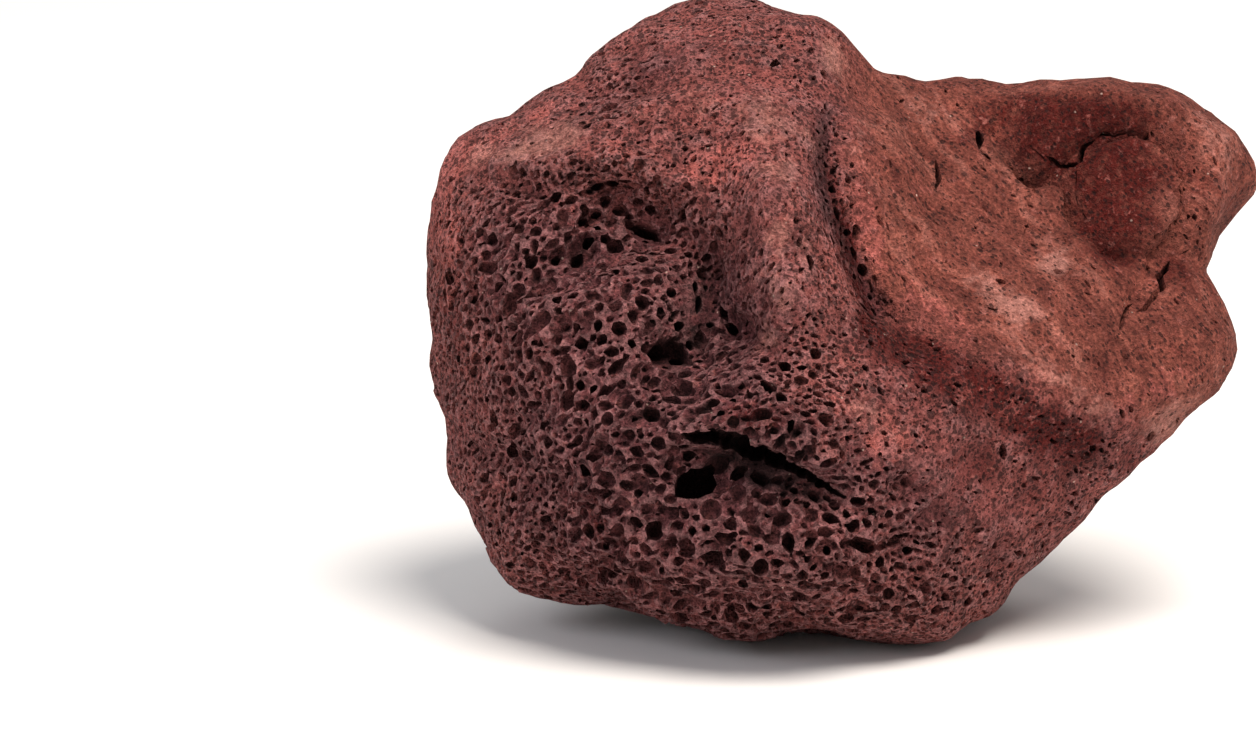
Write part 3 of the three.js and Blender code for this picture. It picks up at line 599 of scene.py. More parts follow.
# Open bubbles. The largest are where the front shows them: right, up, width, height, depth, slant in degrees.
bubbles = {
    # Bubbles joined in a row are the undercut below the lip: right, up, height, depth
    "undercut": [
        (-39, 51.6, 2, 8), (-36, 51.4, 3, 12), (-30, 50.8, 3.8, 15), (-25, 49.6, 4.6, 15), (-20, 47.8, 4.6, 14),
        (-15.8, 46, 3.8, 12), (-11.2, 43.8, 3, 10), (-7, 41.6, 2.4, 8), (-2.5, 38.7, 1.9, 6), (1.2, 36.2, 1.4, 4),
    ],
    "chamber": (-36.4, 39.6, 15, 13),  # behind the largest mouth: right, up, width, depth
    "placed": [
        # hollows under the left shoulder and left of the nose, and what has broken through in them
        (-63.8, 98.8, 8.4, 12, 4.2, -38), (-62, 106.2, 9, 5.6, 3.4, 20), (-48.6, 103.2, 11, 6, 4, -28),
        (-42, 72.4, 13, 9.4, 7, -14), (-57, 113.6, 14, 5, 2.6, 4), (-36, 85, 6, 13, 3.4, -10),
        (-28, 80, 6, 9, 3, 25), (-70.5, 96.5, 5.4, 7, 2.6, -20), (-60.6, 114, 4, 2.4, 6, 10),
        (-57.4, 114.4, 4.4, 2.2, 7, -6), (-54.2, 115, 3.6, 1.8, 5, 4), (-62.6, 112.8, 2.2, 1.6, 4, 0),
        (-48.8, 102.9, 8.4, 4.2, 9, -24), (-52.4, 104.6, 3, 2.4, 6, -50), (-45.6, 101.3, 3.2, 1.8, 5, -30),
        (-43.2, 100.2, 2, 1.6, 4, 0), (-65.6, 95.8, 3.2, 5, 6, -34), (-62.4, 100.4, 2.8, 4.4, 6, -44),
        (-60.4, 103.6, 2.6, 2, 4, 0), (-64.2, 105.8, 3.4, 2.4, 6, 30), (-60.6, 107.4, 3, 2, 4, 10),
        (-70.9, 95.4, 2.6, 3.6, 4, -20), (-58.6, 101, 3, 2.4, 4, 0), (-52.6, 106.6, 2.6, 2, 4, 0),
        (-44.6, 73.4, 5.4, 4, 7, -20), (-40.2, 71, 4.6, 3.6, 7, 10), (-37.6, 74.4, 3, 2.6, 5, 0),
        (-43, 69.4, 2.6, 2, 4, 0), (-36.2, 88.6, 1.8, 4, 6, -6), (-35.4, 84.6, 2.2, 4.6, 7, -14),
        (-37.4, 80.4, 3, 4, 6, 10), (-40.4, 79.2, 3.8, 2.6, 5, 10), (-29.4, 82.6, 2.4, 4.4, 6, 24),
        (-27.6, 78.8, 2.6, 4, 6, 34), (-25.4, 76.4, 2.2, 2.8, 4, 30), (-32.6, 79.4, 2.4, 2, 4, 0),
        (-17.8, 64, 5.6, 2.6, 5, -38), (-14.6, 61.4, 3.4, 2.2, 4, -38), (-20.6, 66.4, 2.6, 1.8, 4, -30),
        # broken bubbles whose floors show
        (-73.8, 89.5, 8.4, 5.6, 3, 42), (-74.8, 80, 4.6, 8, 3, -42), (-50.3, 56.6, 11.5, 5.4, 2.4, 5),
        (-60.5, 90.6, 8.5, 5, 2, 30), (-66, 79, 9.5, 6, 1.8, 25), (-56, 62.5, 9, 6.5, 2, 15),
        (-40.5, 9.8, 12.5, 7.5, 3, 0), (9.3, 13.9, 6.6, 4.6, 2.6, -8), (-17.5, 31.5, 6.6, 6, 2.2, 0),
        (-25.1, 37.3, 4, 5.2, 2.2, 0), (-39.5, 16.1, 4.8, 4.5, 3, 0), (-33.7, 15.3, 4.4, 3.8, 2.6, 0),
        (-46.4, 31.6, 7.6, 8.6, 3, 0), (-32.3, 33.3, 5.2, 5.6, 3.2, 0), (-3.4, 24, 6.6, 5, 2.2, 0),
        (4.4, 8.4, 7, 5, 2, 0), (-58, 24, 8.5, 7, 2.6, 0), (-30, 24, 8, 5, 1.8, 10), (20, 15, 7, 4.4, 1.8, -10),
        (-10.8, 53.2, 6.2, 6.4, 3, 0), (-55.5, 51, 8, 5.5, 2.4, 10), (-26, 63, 8.5, 5, 2.2, 20),
        # single mouths
        (-36.4, 39.6, 10.4, 8.2, 12, 18), (5.8, 24.5, 8, 3.8, 7, -16), (-60.5, 79.3, 2.4, 3.2, 4, -15),
        (-55.3, 78.5, 4, 3.8, 4, 0), (-64.3, 74.8, 4.4, 3.4, 4, 15), (-52, 74.8, 2.6, 2.6, 4, 0),
        (-57, 73, 3.8, 2.8, 4, 10), (-49.5, 85, 4.2, 3.8, 4, 0), (-42.3, 87.5, 3.8, 2.8, 4, 30),
        (-49.5, 95.8, 3.8, 3.4, 4, 0), (-42.3, 97.8, 3.8, 3.4, 4, 0), (-38, 97, 2.6, 2.2, 3, 0),
        (-56.3, 99, 4.6, 5, 4, 0), (-68, 69, 4.8, 5.4, 4, 20), (-67.5, 65.3, 2.4, 4.8, 4, 0),
        (-64.9, 64.5, 2.6, 2.8, 4, 0), (-77.6, 72.5, 2.6, 3.2, 3, -20), (-88.3, 80.5, 4, 1.9, 3, -10),
        (-70.6, 83, 2.4, 2.6, 3, 0), (-66.8, 86.9, 3.4, 2.2, 3, 25), (-59.1, 92, 3.4, 1.6, 3, 15),
        (-78.6, 98, 2.2, 1.9, 3, 0), (-71, 111.5, 3.6, 2.6, 4, 30), (-54.8, 108, 4.4, 3.8, 4, 0),
        (-48.3, 113, 1.7, 3.4, 3, 0), (-39.4, 106.7, 3.2, 3.4, 4, -20), (-47.3, 108.3, 3.4, 3.2, 4, 0),
        (-7.5, 95.3, 2.3, 4, 4, 0), (-25.3, 92, 2.2, 2.2, 3, 0), (-24, 73.8, 2.6, 2.1, 3, 0),
        (-26, 69, 4.4, 2.6, 4, -10), (-13.9, 69, 3.8, 2.8, 4, -20), (-60.5, 48.5, 6.8, 5.2, 3.6, 10),
        (-58.4, 41, 5, 4.6, 4, 0), (-47.5, 42.9, 5, 2.8, 5, -35), (-54.6, 34.6, 5, 4.2, 3, 10),
        (-46.5, 27.8, 4.8, 5.2, 6, 0), (-42, 25.8, 3.2, 3, 4, 0), (-37, 28, 2.5, 2.7, 4, 0),
        (-27.4, 29.8, 3.5, 3, 4, 0), (-37.9, 47, 3.8, 3, 4, 0), (-12.8, 25, 3.8, 5.2, 5, 10),
        (-20, 19, 4.2, 5.6, 5, 0), (-23.9, 21.9, 3.2, 3.6, 4, 0), (-27.4, 13.3, 3.2, 2.9, 4, 0),
        (-24.2, 14.8, 2.9, 3.1, 4, 0), (-10.3, 12, 4, 4.8, 5, 0), (-9.3, 17, 3.1, 3.6, 4, 0),
        (4.5, 35.3, 4.2, 2.9, 4, 0), (10, 20.3, 3.6, 3.2, 4, 0), (16.7, 23.1, 2.9, 2.5, 4, 0),
        (12.8, 18.4, 1.9, 2.1, 3, 0), (32, 10.4, 3.2, 2.9, 4, 0), (36.4, 12.3, 3.2, 2.4, 3, 0),
        (29.4, 23.1, 2.6, 2.2, 3, 0), (10.3, 29.3, 2.2, 1.8, 3, 0), (-11.5, 38.1, 2.4, 2.2, 3, 0),
        (-12.6, 54.6, 2.8, 4.6, 4, -30), (-3.1, 44.8, 5.2, 3.2, 4, 0), (2, 51.3, 2.6, 2.4, 3, 0),
        (-2.3, 31.1, 4.6, 3, 4, -15), (-3.1, 22.5, 2.2, 3, 4, 0), (-20.4, 23.8, 2.6, 2.4, 3, 0),
        (-15.6, 20, 3.4, 2.4, 3, 0), (-18.1, 7.5, 3.2, 3.2, 4, 0), (-16.5, 4.9, 4, 3.4, 4, 0),
        (-22, 8.8, 3.2, 3.4, 4, 0), (-44.6, 7.8, 3.2, 2.2, 3, 0), (0.5, 8.6, 3, 2.2, 3, 0),
        (14, 8.5, 3.2, 3.6, 3, 0), (24, 8.3, 4.6, 3, 3, 0), (-6, 11.7, 2.6, 2.2, 3, 0),
        (-54, 20.4, 4.4, 4.8, 4, 0), (-62.6, 28.1, 4.6, 4.2, 4, 0), (-79, 63.1, 4.4, 4, 3, 0),
        (-19.9, 57, 5.6, 4.2, 4, 10), (-45.3, 49.8, 4.4, 3.8, 3, 0),
        # the groove beside the nose, and the crust
        (-3.6, 119.4, 1.4, 2.6, 3, 8), (-2, 113.4, 2.2, 2.8, 4, -20), (-3.4, 110.6, 1.4, 1.6, 3, 0),
        (-0.8, 107.4, 1.6, 3.6, 4, 16), (-2.2, 104.6, 1.3, 1.6, 3, 0), (1.6, 102.6, 2.6, 2.2, 4, 30),
        (0.2, 100, 1.4, 2.2, 4, 0), (3.4, 97.4, 1.6, 3.8, 4, 14), (5.4, 93.2, 3.2, 3.4, 5, 30),
        (3.6, 91.6, 1.6, 2, 4, 0), (7.4, 86.4, 1.4, 2, 3, 10), (8.4, 82.6, 1.6, 3.4, 4, 12),
        (40.7, 48, 2.4, 4.4, 3, 15), (24.5, 116.5, 1.6, 5, 3, 0), (77.6, 51.8, 3.4, 3.4, 3, 0),
        (34.8, 125.8, 2.2, 5.6, 5, -4), (36.8, 121.6, 2.8, 1.8, 5, -30), (88.5, 118, 0.9, 1.6, 2, 0),
        (86, 113.4, 0.8, 1.3, 2, 0), (97.6, 111.4, 1.5, 0.9, 2, 20), (87, 106.4, 0.9, 1.9, 2, 0),
        (90, 103.6, 0.8, 1.1, 2, 0),
    ],
    # Broken bubbles whose floors show, then whole ones behind their mouths. Mouth radii in mm, the mean radius
    # against that of the place, the share of the skin they take, how near two come, how deep their middles lie
    "dishes": {"largest": 5.5, "smallest": 1.5, "steps": 8, "times": 2.2, "share": 0.62, "wall": 0.84,
               "inset": (-0.85, -0.4)},
    "holes": {"largest": 2.7, "smallest": 0.5, "steps": 12, "times": 1.0, "share": 0.44, "wall": 0.98,
              "inset": (0.0, 0.6)},
    "spread": 0.45,  # of the radii about their mean, as a logarithm
    "frothPower": 1.5,  # how fast holes get fewer towards the crust
    "joined": 0.4, "joinedFrom": 0.9,  # the share of whole bubbles above this radius in mm that broke into another
    "throws": 2.4,  # darts for each that would fill its share
    # Mean mouth radius in mm: on the front where no zone adds to it, on the hidden sides, and its bounds
    "front": 0.38, "hidden": 1.35, "hiddenSpread": 0.6, "bounds": (0.3, 1.9),
    "dishesFrom": (0.7, 1.25), "holesFrom": (0.4, 0.8), "fineShare": 0.22,  # mean radii at which each is usual
    "in": {"foam": 0.2, "pale": -0.7, "flush": -0.5},  # how much more of the skin is holes there
    "inCrust": 0.012, "inGroove": 0.5, "lessHidden": 0.45, "deepRed": 0.3,  # deep red crust has none
    # Which way the froth was drawn out: right, up, slant in degrees
    "flow": [
        (-80, 95, 60), (-72, 80, 42), (-60, 62, 38), (-45, 40, 20), (-20, 20, 0), (20, 40, -15), (50, 40, -22),
        (-50, 135, 25), (0, 120, 70), (30, 110, -62), (55, 95, -48), (80, 75, -35), (45, 75, -38), (85, 120, -55),
    ],
    "seed": 5,
}
chance = {  # the least and most that the dice give, times the size unless it is a slant in degrees
    # Guests are bubbles that joined a placed one, and slots make up the undercut
    "guestPlace": (0.36, 0.56), "guestSize": (0.16, 0.55), "guestDeep": (0, 0.25),
    "slotTall": (0.55, 1.35), "slotWide": (0.8, 1.5), "slotDeep": (0.5, 0.8), "slotSlant": (-40, 40),
    "dishStretch": (0.85, 1.18), "holeDeep": (0.9, 1.5), "joinPlace": (0.7, 1.1), "joinSize": (0.45, 0.75),
}
placing = {
    "toEye": 1.5,  # how much a placed bubble opens towards the eye that read it
    "bowl": 0.55, "bowlRise": 0.6, "holeRise": -0.35,  # shallower than this share of its width is an open bowl
    "guestsFrom": 4, "guestsMost": 4, "guestsEach": 1.3,  # mm of depth above which each mm adds so many guests
    "chamberBehind": 2.5, "slotGap": 0.8, "slotStray": 0.12, "slotClimb": 0.12, "slotInward": 0.25,
    "drawnOut": 0.55, "crustDrawnOut": 0.6,  # how much longer than round a hole is, and more so in the crust
    "drawnThin": 0.6,  # the power of its length by which it is narrower
    "slantSpread": 22, "joinDeep": 0.5, "joinMouth": 0.6,
    "slantReach": 60,  # mm2 round a row of the froth's slants
}
# The balls that are cut: name, faces around and up, how lumpy, and the largest mouth radius they serve
balls = [
    ("fine", 5, 3, 0.2, 0.8), ("middling", 6, 4, 0.18, 1.3), ("wide", 8, 5, 0.15, 2.4), ("broad", 10, 6, 0.12, 99),
]
kindsEach = 4  # shapes of each


def meanRadius(points):
    away = hidden(points)
    front = bubbles["front"] + ovals(points, zones["coarse"])
    back = bubbles["hidden"] + bubbles["hiddenSpread"] * roughNoise(points, *noises["bubbleSize"])
    return np.clip(front * (1 - away) + back * away, *bubbles["bounds"])


def mouthShare(points, kind):  # the share of the skin that mouths take up
    found = finishes(points)
    froth = (1 - found["crust"]) ** bubbles["frothPower"]
    if kind == "dishes":
        return bubbles[kind]["share"] * froth**2 * ramp(meanRadius(points), *bubbles["dishesFrom"])
    times = 1
    for name, more in bubbles["in"].items():
        times = times + more * found[name]
    coarse = (1 - bubbles["fineShare"]) * ramp(meanRadius(points), *bubbles["holesFrom"])
    full = bubbles[kind]["share"] * times * (bubbles["fineShare"] + coarse)
    full = full * froth + bubbles["inCrust"] * found["crust"] * (found["red"] < bubbles["deepRed"])
    full = full + bubbles["inGroove"] * inGroove(points)
    return np.clip(full, 0, 1) * (1 - bubbles["lessHidden"] * hidden(points))


def slantAt(points):  # nearer rows count for more
    spots = sighted(points)
    pull = 0
    for right, up, slant in bubbles["flow"]:
        near = ((spots - (right, up)) ** 2).sum(axis=1) + placing["slantReach"]
        pull = pull + np.exp(2j * math.radians(slant)) / near**1.5
    return np.degrees(np.angle(pull)) / 2


def basis(normal, slant):  # across, up and out of the skin, turned by the slant
    upright = (0, 1, 0) if abs(normal[1]) < 0.95 else (0, 0, 1)  # never the normal's own way
    across = unit(np.cross(upright, normal))
    upward = np.cross(normal, across)
    turn = math.radians(slant)
    first = across * math.cos(turn) + upward * math.sin(turn)
    return np.stack([first, np.cross(normal, first), normal], axis=1)


def scatter(kind, dice, mouths, mouthRadii):  # mouths from large to small, no two closer than their wall allows
    rows = bubbles[kind]
    faces = np.array(skinFaces)
    found = []
    steps = np.geomspace(rows["largest"], rows["smallest"], rows["steps"])
    for high, low in zip(steps[:-1], steps[1:]):
        middle = math.sqrt(high * low)
        darts = int(skinAreas.sum() * rows["share"] * bubbles["throws"] / (math.pi * middle**2) / 2)
        chosen = dice.choice(len(faces), darts, p=skinAreas / skinAreas.sum())
        share = dice.dirichlet((1, 1, 1), darts)
        spots = (skinPoints[faces[chosen]] * share[:, :, None]).sum(axis=1)
        normals = skinNormals[faces[chosen, 0]]
        fit = np.exp(-((np.log(middle / meanRadius(spots) / rows["times"]) / bubbles["spread"]) ** 2) / 2)
        keep = dice.random(darts) < fit * mouthShare(spots, kind) / rows["share"]
        spots, normals = spots[keep], normals[keep]
        radii = dice.uniform(low, high, len(spots))
        earlier, rivals = treeOf(mouths), treeOf(spots)
        widest = max(mouthRadii, default=0)
        wall = rows["wall"]
        taken = np.zeros(len(spots), bool)
        for index, (spot, radius) in enumerate(zip(spots, radii)):
            taken[index] = not (
                any(gap < wall * (radius + mouthRadii[other])
                    for _, other, gap in earlier.find_range(spot, wall * (radius + widest)))
                or any(taken[other] and gap < wall * (radius + radii[other])
                       for _, other, gap in rivals.find_range(spot, wall * (radius + high))))
        mouths += list(spots[taken])
        mouthRadii += list(radii[taken])
        found += list(zip(spots[taken], normals[taken], radii[taken]))
    print(f"{kind}: {len(found)}")
    return found


def makeBubbles():
    dice = np.random.default_rng(bubbles["seed"])
    places, turns, scales, kinds = [], [], [], []

    def add(centre, size, turned, mouth):
        inRow = np.array(toRow.to_3x3()) / mm @ turned
        places.append(centre)
        scales.append(np.array(size) * mm)
        turns.append(Matrix(inRow.tolist()).to_euler()[:])
        ball = next(index for index, row in enumerate(balls) if mouth < row[4])
        kinds.append(ball * kindsEach + dice.integers(kindsEach))

    mouths, mouthRadii, floors = [], [], []
    for right, up, width, height, depth, slant in bubbles["placed"]:
        place, normal = skinAt(right, up)
        sunk = max([deep * (1 - (np.linalg.norm(spot - place) / wide) ** 2)
                    for spot, wide, deep in floors], default=0)
        normal = unit(normal + placing["toEye"] * unit(eye - place))
        turned = basis(normal, slant)
        shallow = depth < placing["bowl"] * width
        rise = placing["bowlRise"] if shallow else placing["holeRise"]  # of its middle above the skin
        spread = 2 * math.sqrt(1 - rise**2)
        size = (width / spread, height / spread, depth / (1 - rise))
        add(place + normal * rise * size[2], size, turned, (width + height) / 4)
        if rise > 0:
            floors.append((place, (width + height) / 4, depth))
            continue
        places[-1] = places[-1] - normal * max(0, sunk)
        mouths.append(place)
        mouthRadii.append((width + height) / 4)
        deeper = min(placing["guestsMost"], max(0, depth - placing["guestsFrom"]))
        for _ in range(round(1 + deeper * placing["guestsEach"])):  # smaller bubbles that have joined it
            angle = dice.uniform(0, 2 * math.pi)
            shift = turned[:, 0] * math.cos(angle) * width + turned[:, 1] * math.sin(angle) * height
            shift = shift * dice.uniform(*chance["guestPlace"])
            size = np.array((width, height, depth)) / 2 * dice.uniform(*chance["guestSize"])
            centre = place + shift - normal * dice.uniform(*chance["guestDeep"]) * depth
            add(centre, size, turned @ basis(unit(dice.normal(size=3)), 0), size[0])
    right, up, width, depth = bubbles["chamber"]
    place = skinAt(right, up)[0]
    inward = unit(place - eye)
    centre = place + inward * (depth / 2 + placing["chamberBehind"])
    add(centre, np.array((width, width, depth)) / 2, basis(-inward, 0), width)
    for right, up, height, depth in alongPath(bubbles["undercut"], placing["slotGap"]):
        place = skinAt(right, up + dice.normal(0, placing["slotStray"]) * height)[0]
        inward = unit(place - eye + (0, placing["slotClimb"] * eye[2], 0))
        tall = height * dice.uniform(*chance["slotTall"]) / 2
        size = (tall * dice.uniform(*chance["slotWide"]), tall, depth * dice.uniform(*chance["slotDeep"]))
        centre = place + inward * placing["slotInward"] * depth
        add(centre, size, basis(-inward, dice.uniform(*chance["slotSlant"])), height / 2)
        mouths.append(place)
        mouthRadii.append(height / 2)
    dishMouths, dishRadii = list(mouths), list(mouthRadii)
    dishes = scatter("dishes", dice, dishMouths, dishRadii)
    for spot, normal, radius in dishes:
        inset = dice.uniform(*bubbles["dishes"]["inset"])
        ball = radius / math.sqrt(1 - inset**2)
        stretch = dice.uniform(*chance["dishStretch"], 3)
        add(spot - normal * inset * ball, ball * stretch, basis(normal, dice.uniform(0, 180)), radius)
        floors.append((spot, radius, ball * (1 + inset)))
    floorTree = treeOf([spot for spot, _, _ in floors])
    holes = scatter("holes", dice, mouths, mouthRadii)
    spots = np.array([spot for spot, _, _ in holes])
    slants, crusts = slantAt(spots), crustShare(spots)
    for (spot, normal, radius), slant, crust in zip(holes, slants, crusts):
        _, index, gap = floorTree.find(spot)
        _, wide, deep = floors[index]
        floor = deep * max(0, 1 - (gap / wide) ** 2)
        inset = dice.uniform(*bubbles["holes"]["inset"])
        ball = radius / math.sqrt(1 - inset**2)
        drawn = 1 + dice.uniform(0, placing["drawnOut"] + placing["crustDrawnOut"] * crust)
        size = ball * np.array([drawn, 1 / drawn ** placing["drawnThin"], dice.uniform(*chance["holeDeep"])])
        turned = basis(normal, slant + dice.normal(0, placing["slantSpread"]))
        add(spot - normal * (inset * ball + floor), size, turned, radius)
        if radius > bubbles["joinedFrom"] and dice.random() < bubbles["joined"]:
            shift = turned[:, :2] @ unit(dice.normal(size=2)) * radius * dice.uniform(*chance["joinPlace"])
            centre = spot + shift - normal * (placing["joinDeep"] * ball + floor)
            add(centre, size * dice.uniform(*chance["joinSize"]), turned, radius * placing["joinMouth"])
    made = meshOf("bubblePoints", moved(np.array(places), toRow), [])
    for name, kind, key, values in (
            ("size", "FLOAT_VECTOR", "vector", np.array(scales)),
            ("turn", "FLOAT_VECTOR", "vector", np.array(turns)),
            ("kind", "INT", "value", np.array(kinds, np.int32))):
        made.data.attributes.new(name, kind, "POINT").data.foreach_set(key, values.ravel())
    return made


def makeBalls():
    dice = np.random.default_rng(bubbles["seed"])
    group = bpy.data.collections.new("ball shapes")
    for name, around, up, lumpy, _ in balls:
        for index in range(kindsEach):
            ball = bmesh.new()
            bmesh.ops.create_uvsphere(ball, u_segments=around, v_segments=up, radius=1)
            for vertex in ball.verts:
                vertex.co *= 1 + dice.uniform(-lumpy, lumpy)
            bmesh.ops.triangulate(ball, faces=ball.faces)
            made = meshOf(f"ball{len(group.objects):02d}{name}", [], [])
            ball.to_mesh(made.data)
            ball.free()
            bpy.context.collection.objects.unlink(made)
            group.objects.link(made)
    return group


ballShapes = makeBalls()
bubblePoints = makeBubbles()
print("bubbles:", len(bubblePoints.data.vertices))


def addNode(tree, kind, inputs={}, **settings):  # a node with its settings, values and links
    node = tree.nodes.new(kind)
    for name, value in settings.items():
        setattr(node, name, value)
    for name, value in inputs.items():
        if isinstance(value, bpy.types.NodeSocket):
            tree.links.new(value, node.inputs[name])
        else:
            node.inputs[name].default_value = value
    return node


def linear(code, alpha=1.0):  # an sRGB hex value as the linear colour that the shader wants
    parts = [int(code[i:i + 2], 16) / 255 for i in (1, 3, 5)]
    return [part / 12.92 if part <= 0.04045 else ((part + 0.055) / 1.055) ** 2.4 for part in parts] + [alpha]


def makeCarving():  # the tree that cuts every bubble and the larger cuts out of the skin
    tree = bpy.data.node_groups.new("open bubbles", "GeometryNodeTree")
    for name, kind in (
            ("Skin", "Geometry"), ("Bubble Points", "Object"), ("Ball Shapes", "Collection"),
            ("Larger Cuts", "Collection"), ("Bubble Scale", "Float"), ("Stone", "Material")):
        tree.interface.new_socket(name, in_out="INPUT", socket_type="NodeSocket" + kind)
    tree.interface.new_socket("Carved", in_out="OUTPUT", socket_type="NodeSocketGeometry")
    given = addNode(tree, "NodeGroupInput").outputs
    points = addNode(tree, "GeometryNodeObjectInfo", {"Object": given["Bubble Points"]}).outputs["Geometry"]
    shapes = addNode(tree, "GeometryNodeCollectionInfo", {
        "Collection": given["Ball Shapes"], "Separate Children": True, "Reset Children": True})
    larger = addNode(tree, "GeometryNodeCollectionInfo", {
        "Collection": given["Larger Cuts"], "Separate Children": True}).outputs["Instances"]
    size, turn, kind = (
        addNode(tree, "GeometryNodeInputNamedAttribute", {"Name": name}, data_type=data).outputs["Attribute"]
        for name, data in (("size", "FLOAT_VECTOR"), ("turn", "FLOAT_VECTOR"), ("kind", "INT")))
    rotation = addNode(tree, "FunctionNodeEulerToRotation", {"Euler": turn}).outputs[0]
    scaled = addNode(tree, "ShaderNodeVectorMath", {0: size, "Scale": given["Bubble Scale"]}, operation="SCALE")
    copies = addNode(tree, "GeometryNodeInstanceOnPoints", {
        "Points": points, "Instance": shapes.outputs["Instances"], "Pick Instance": True,
        "Instance Index": kind, "Rotation": rotation, "Scale": scaled.outputs[0]})
    carve = addNode(tree, "GeometryNodeMeshBoolean", {0: given["Skin"]}, operation="DIFFERENCE", solver="MANIFOLD")
    tree.links.new(copies.outputs["Instances"], carve.inputs[1])
    tree.links.new(larger, carve.inputs[1])
    real = addNode(tree, "GeometryNodeRealizeInstances", {"Geometry": carve.outputs["Mesh"]})
    worn = addNode(tree, "GeometryNodeSetMaterial", {
        "Geometry": real.outputs["Geometry"], "Material": given["Stone"]})
    addNode(tree, "NodeGroupOutput", {"Carved": worn.outputs["Geometry"]})
    return tree


def setInput(modifier, name, value):  # by the socket's identifier
    socket = next(item for item in modifier.node_group.interface.items_tree
                  if item.item_type == "SOCKET" and item.in_out == "INPUT" and item.name == name)
    modifier[socket.identifier] = value


def baked(piece, name):  # the evaluated object as a plain mesh
    graph = bpy.context.evaluated_depsgraph_get()
    mesh = bpy.data.meshes.new_from_object(piece.evaluated_get(graph))
    mesh.name = name
    piece.modifiers.clear()
    piece.data = mesh


# Scoria: cooled lava froth whose iron has turned to hematite. It is dull all over, with painted shade within its
# bubbles and hollows, paler on broken rims partly by a painted highlight, and brick red with dusty flow streaks
# where its crust is whole.
colours = {
    "slopeDark": "#733a36", "slopeLight": "#aa615a",
    "foamDark": "#432022", "foamLight": "#844d4f",
    "crustDark": "#5c2823", "crustLight": "#9e594a",
    "deepRed": "#4a0a07", "flush": "#b5625a", "dusty": "#b57c70",
    # a near-black used as painted shade for hollows, creases and pores, then a rim colour that is partly a painted
    # highlight
    "hollowShade": "#1d0f0f", "rim": "#a37372", "crystal": "#c8ab9c",
}
grain = {  # mm
    "mottle": 14.0, "fleck": 2.6, "clump": 1.5, "grit": 0.8, "streakWide": 1.8, "streakLong": 11.0,
    "streakBend": 12.0, "warp": 0.9, "warpSize": 1.4,
    "largePores": 2.0, "pores": 1.3, "finePores": 0.8, "drawnWide": 1.0, "drawnLong": 1.7, "crystals": 5.5,
    "poreDeep": 0.45, "gritDeep": 0.5, "clumpDeep": 0.65, "fleckDeep": 0.65, "streakDeep": 0.6,
}
wear = {  # how strongly the finishes show
    "drift": 0.3,  # a drift is a streak this much less fine
    "cloud": (0.3, 0.7), "cloudRough": 0.68,  # the part of each noise that is used, and its roughness
    "crustPores": 0.4, "foamCalm": 0.65, "calmPores": 0.3,  # what is left of the pores on crust, foam and dust
    "poreEdge": 0.1, "driftInCrust": 0.45,
    "crustShade": 0.88,  # how much of the uneven shade the crust takes
    "dullFroth": 0.98, "dullCrust": 0.92, "gloss": 0.2,
}


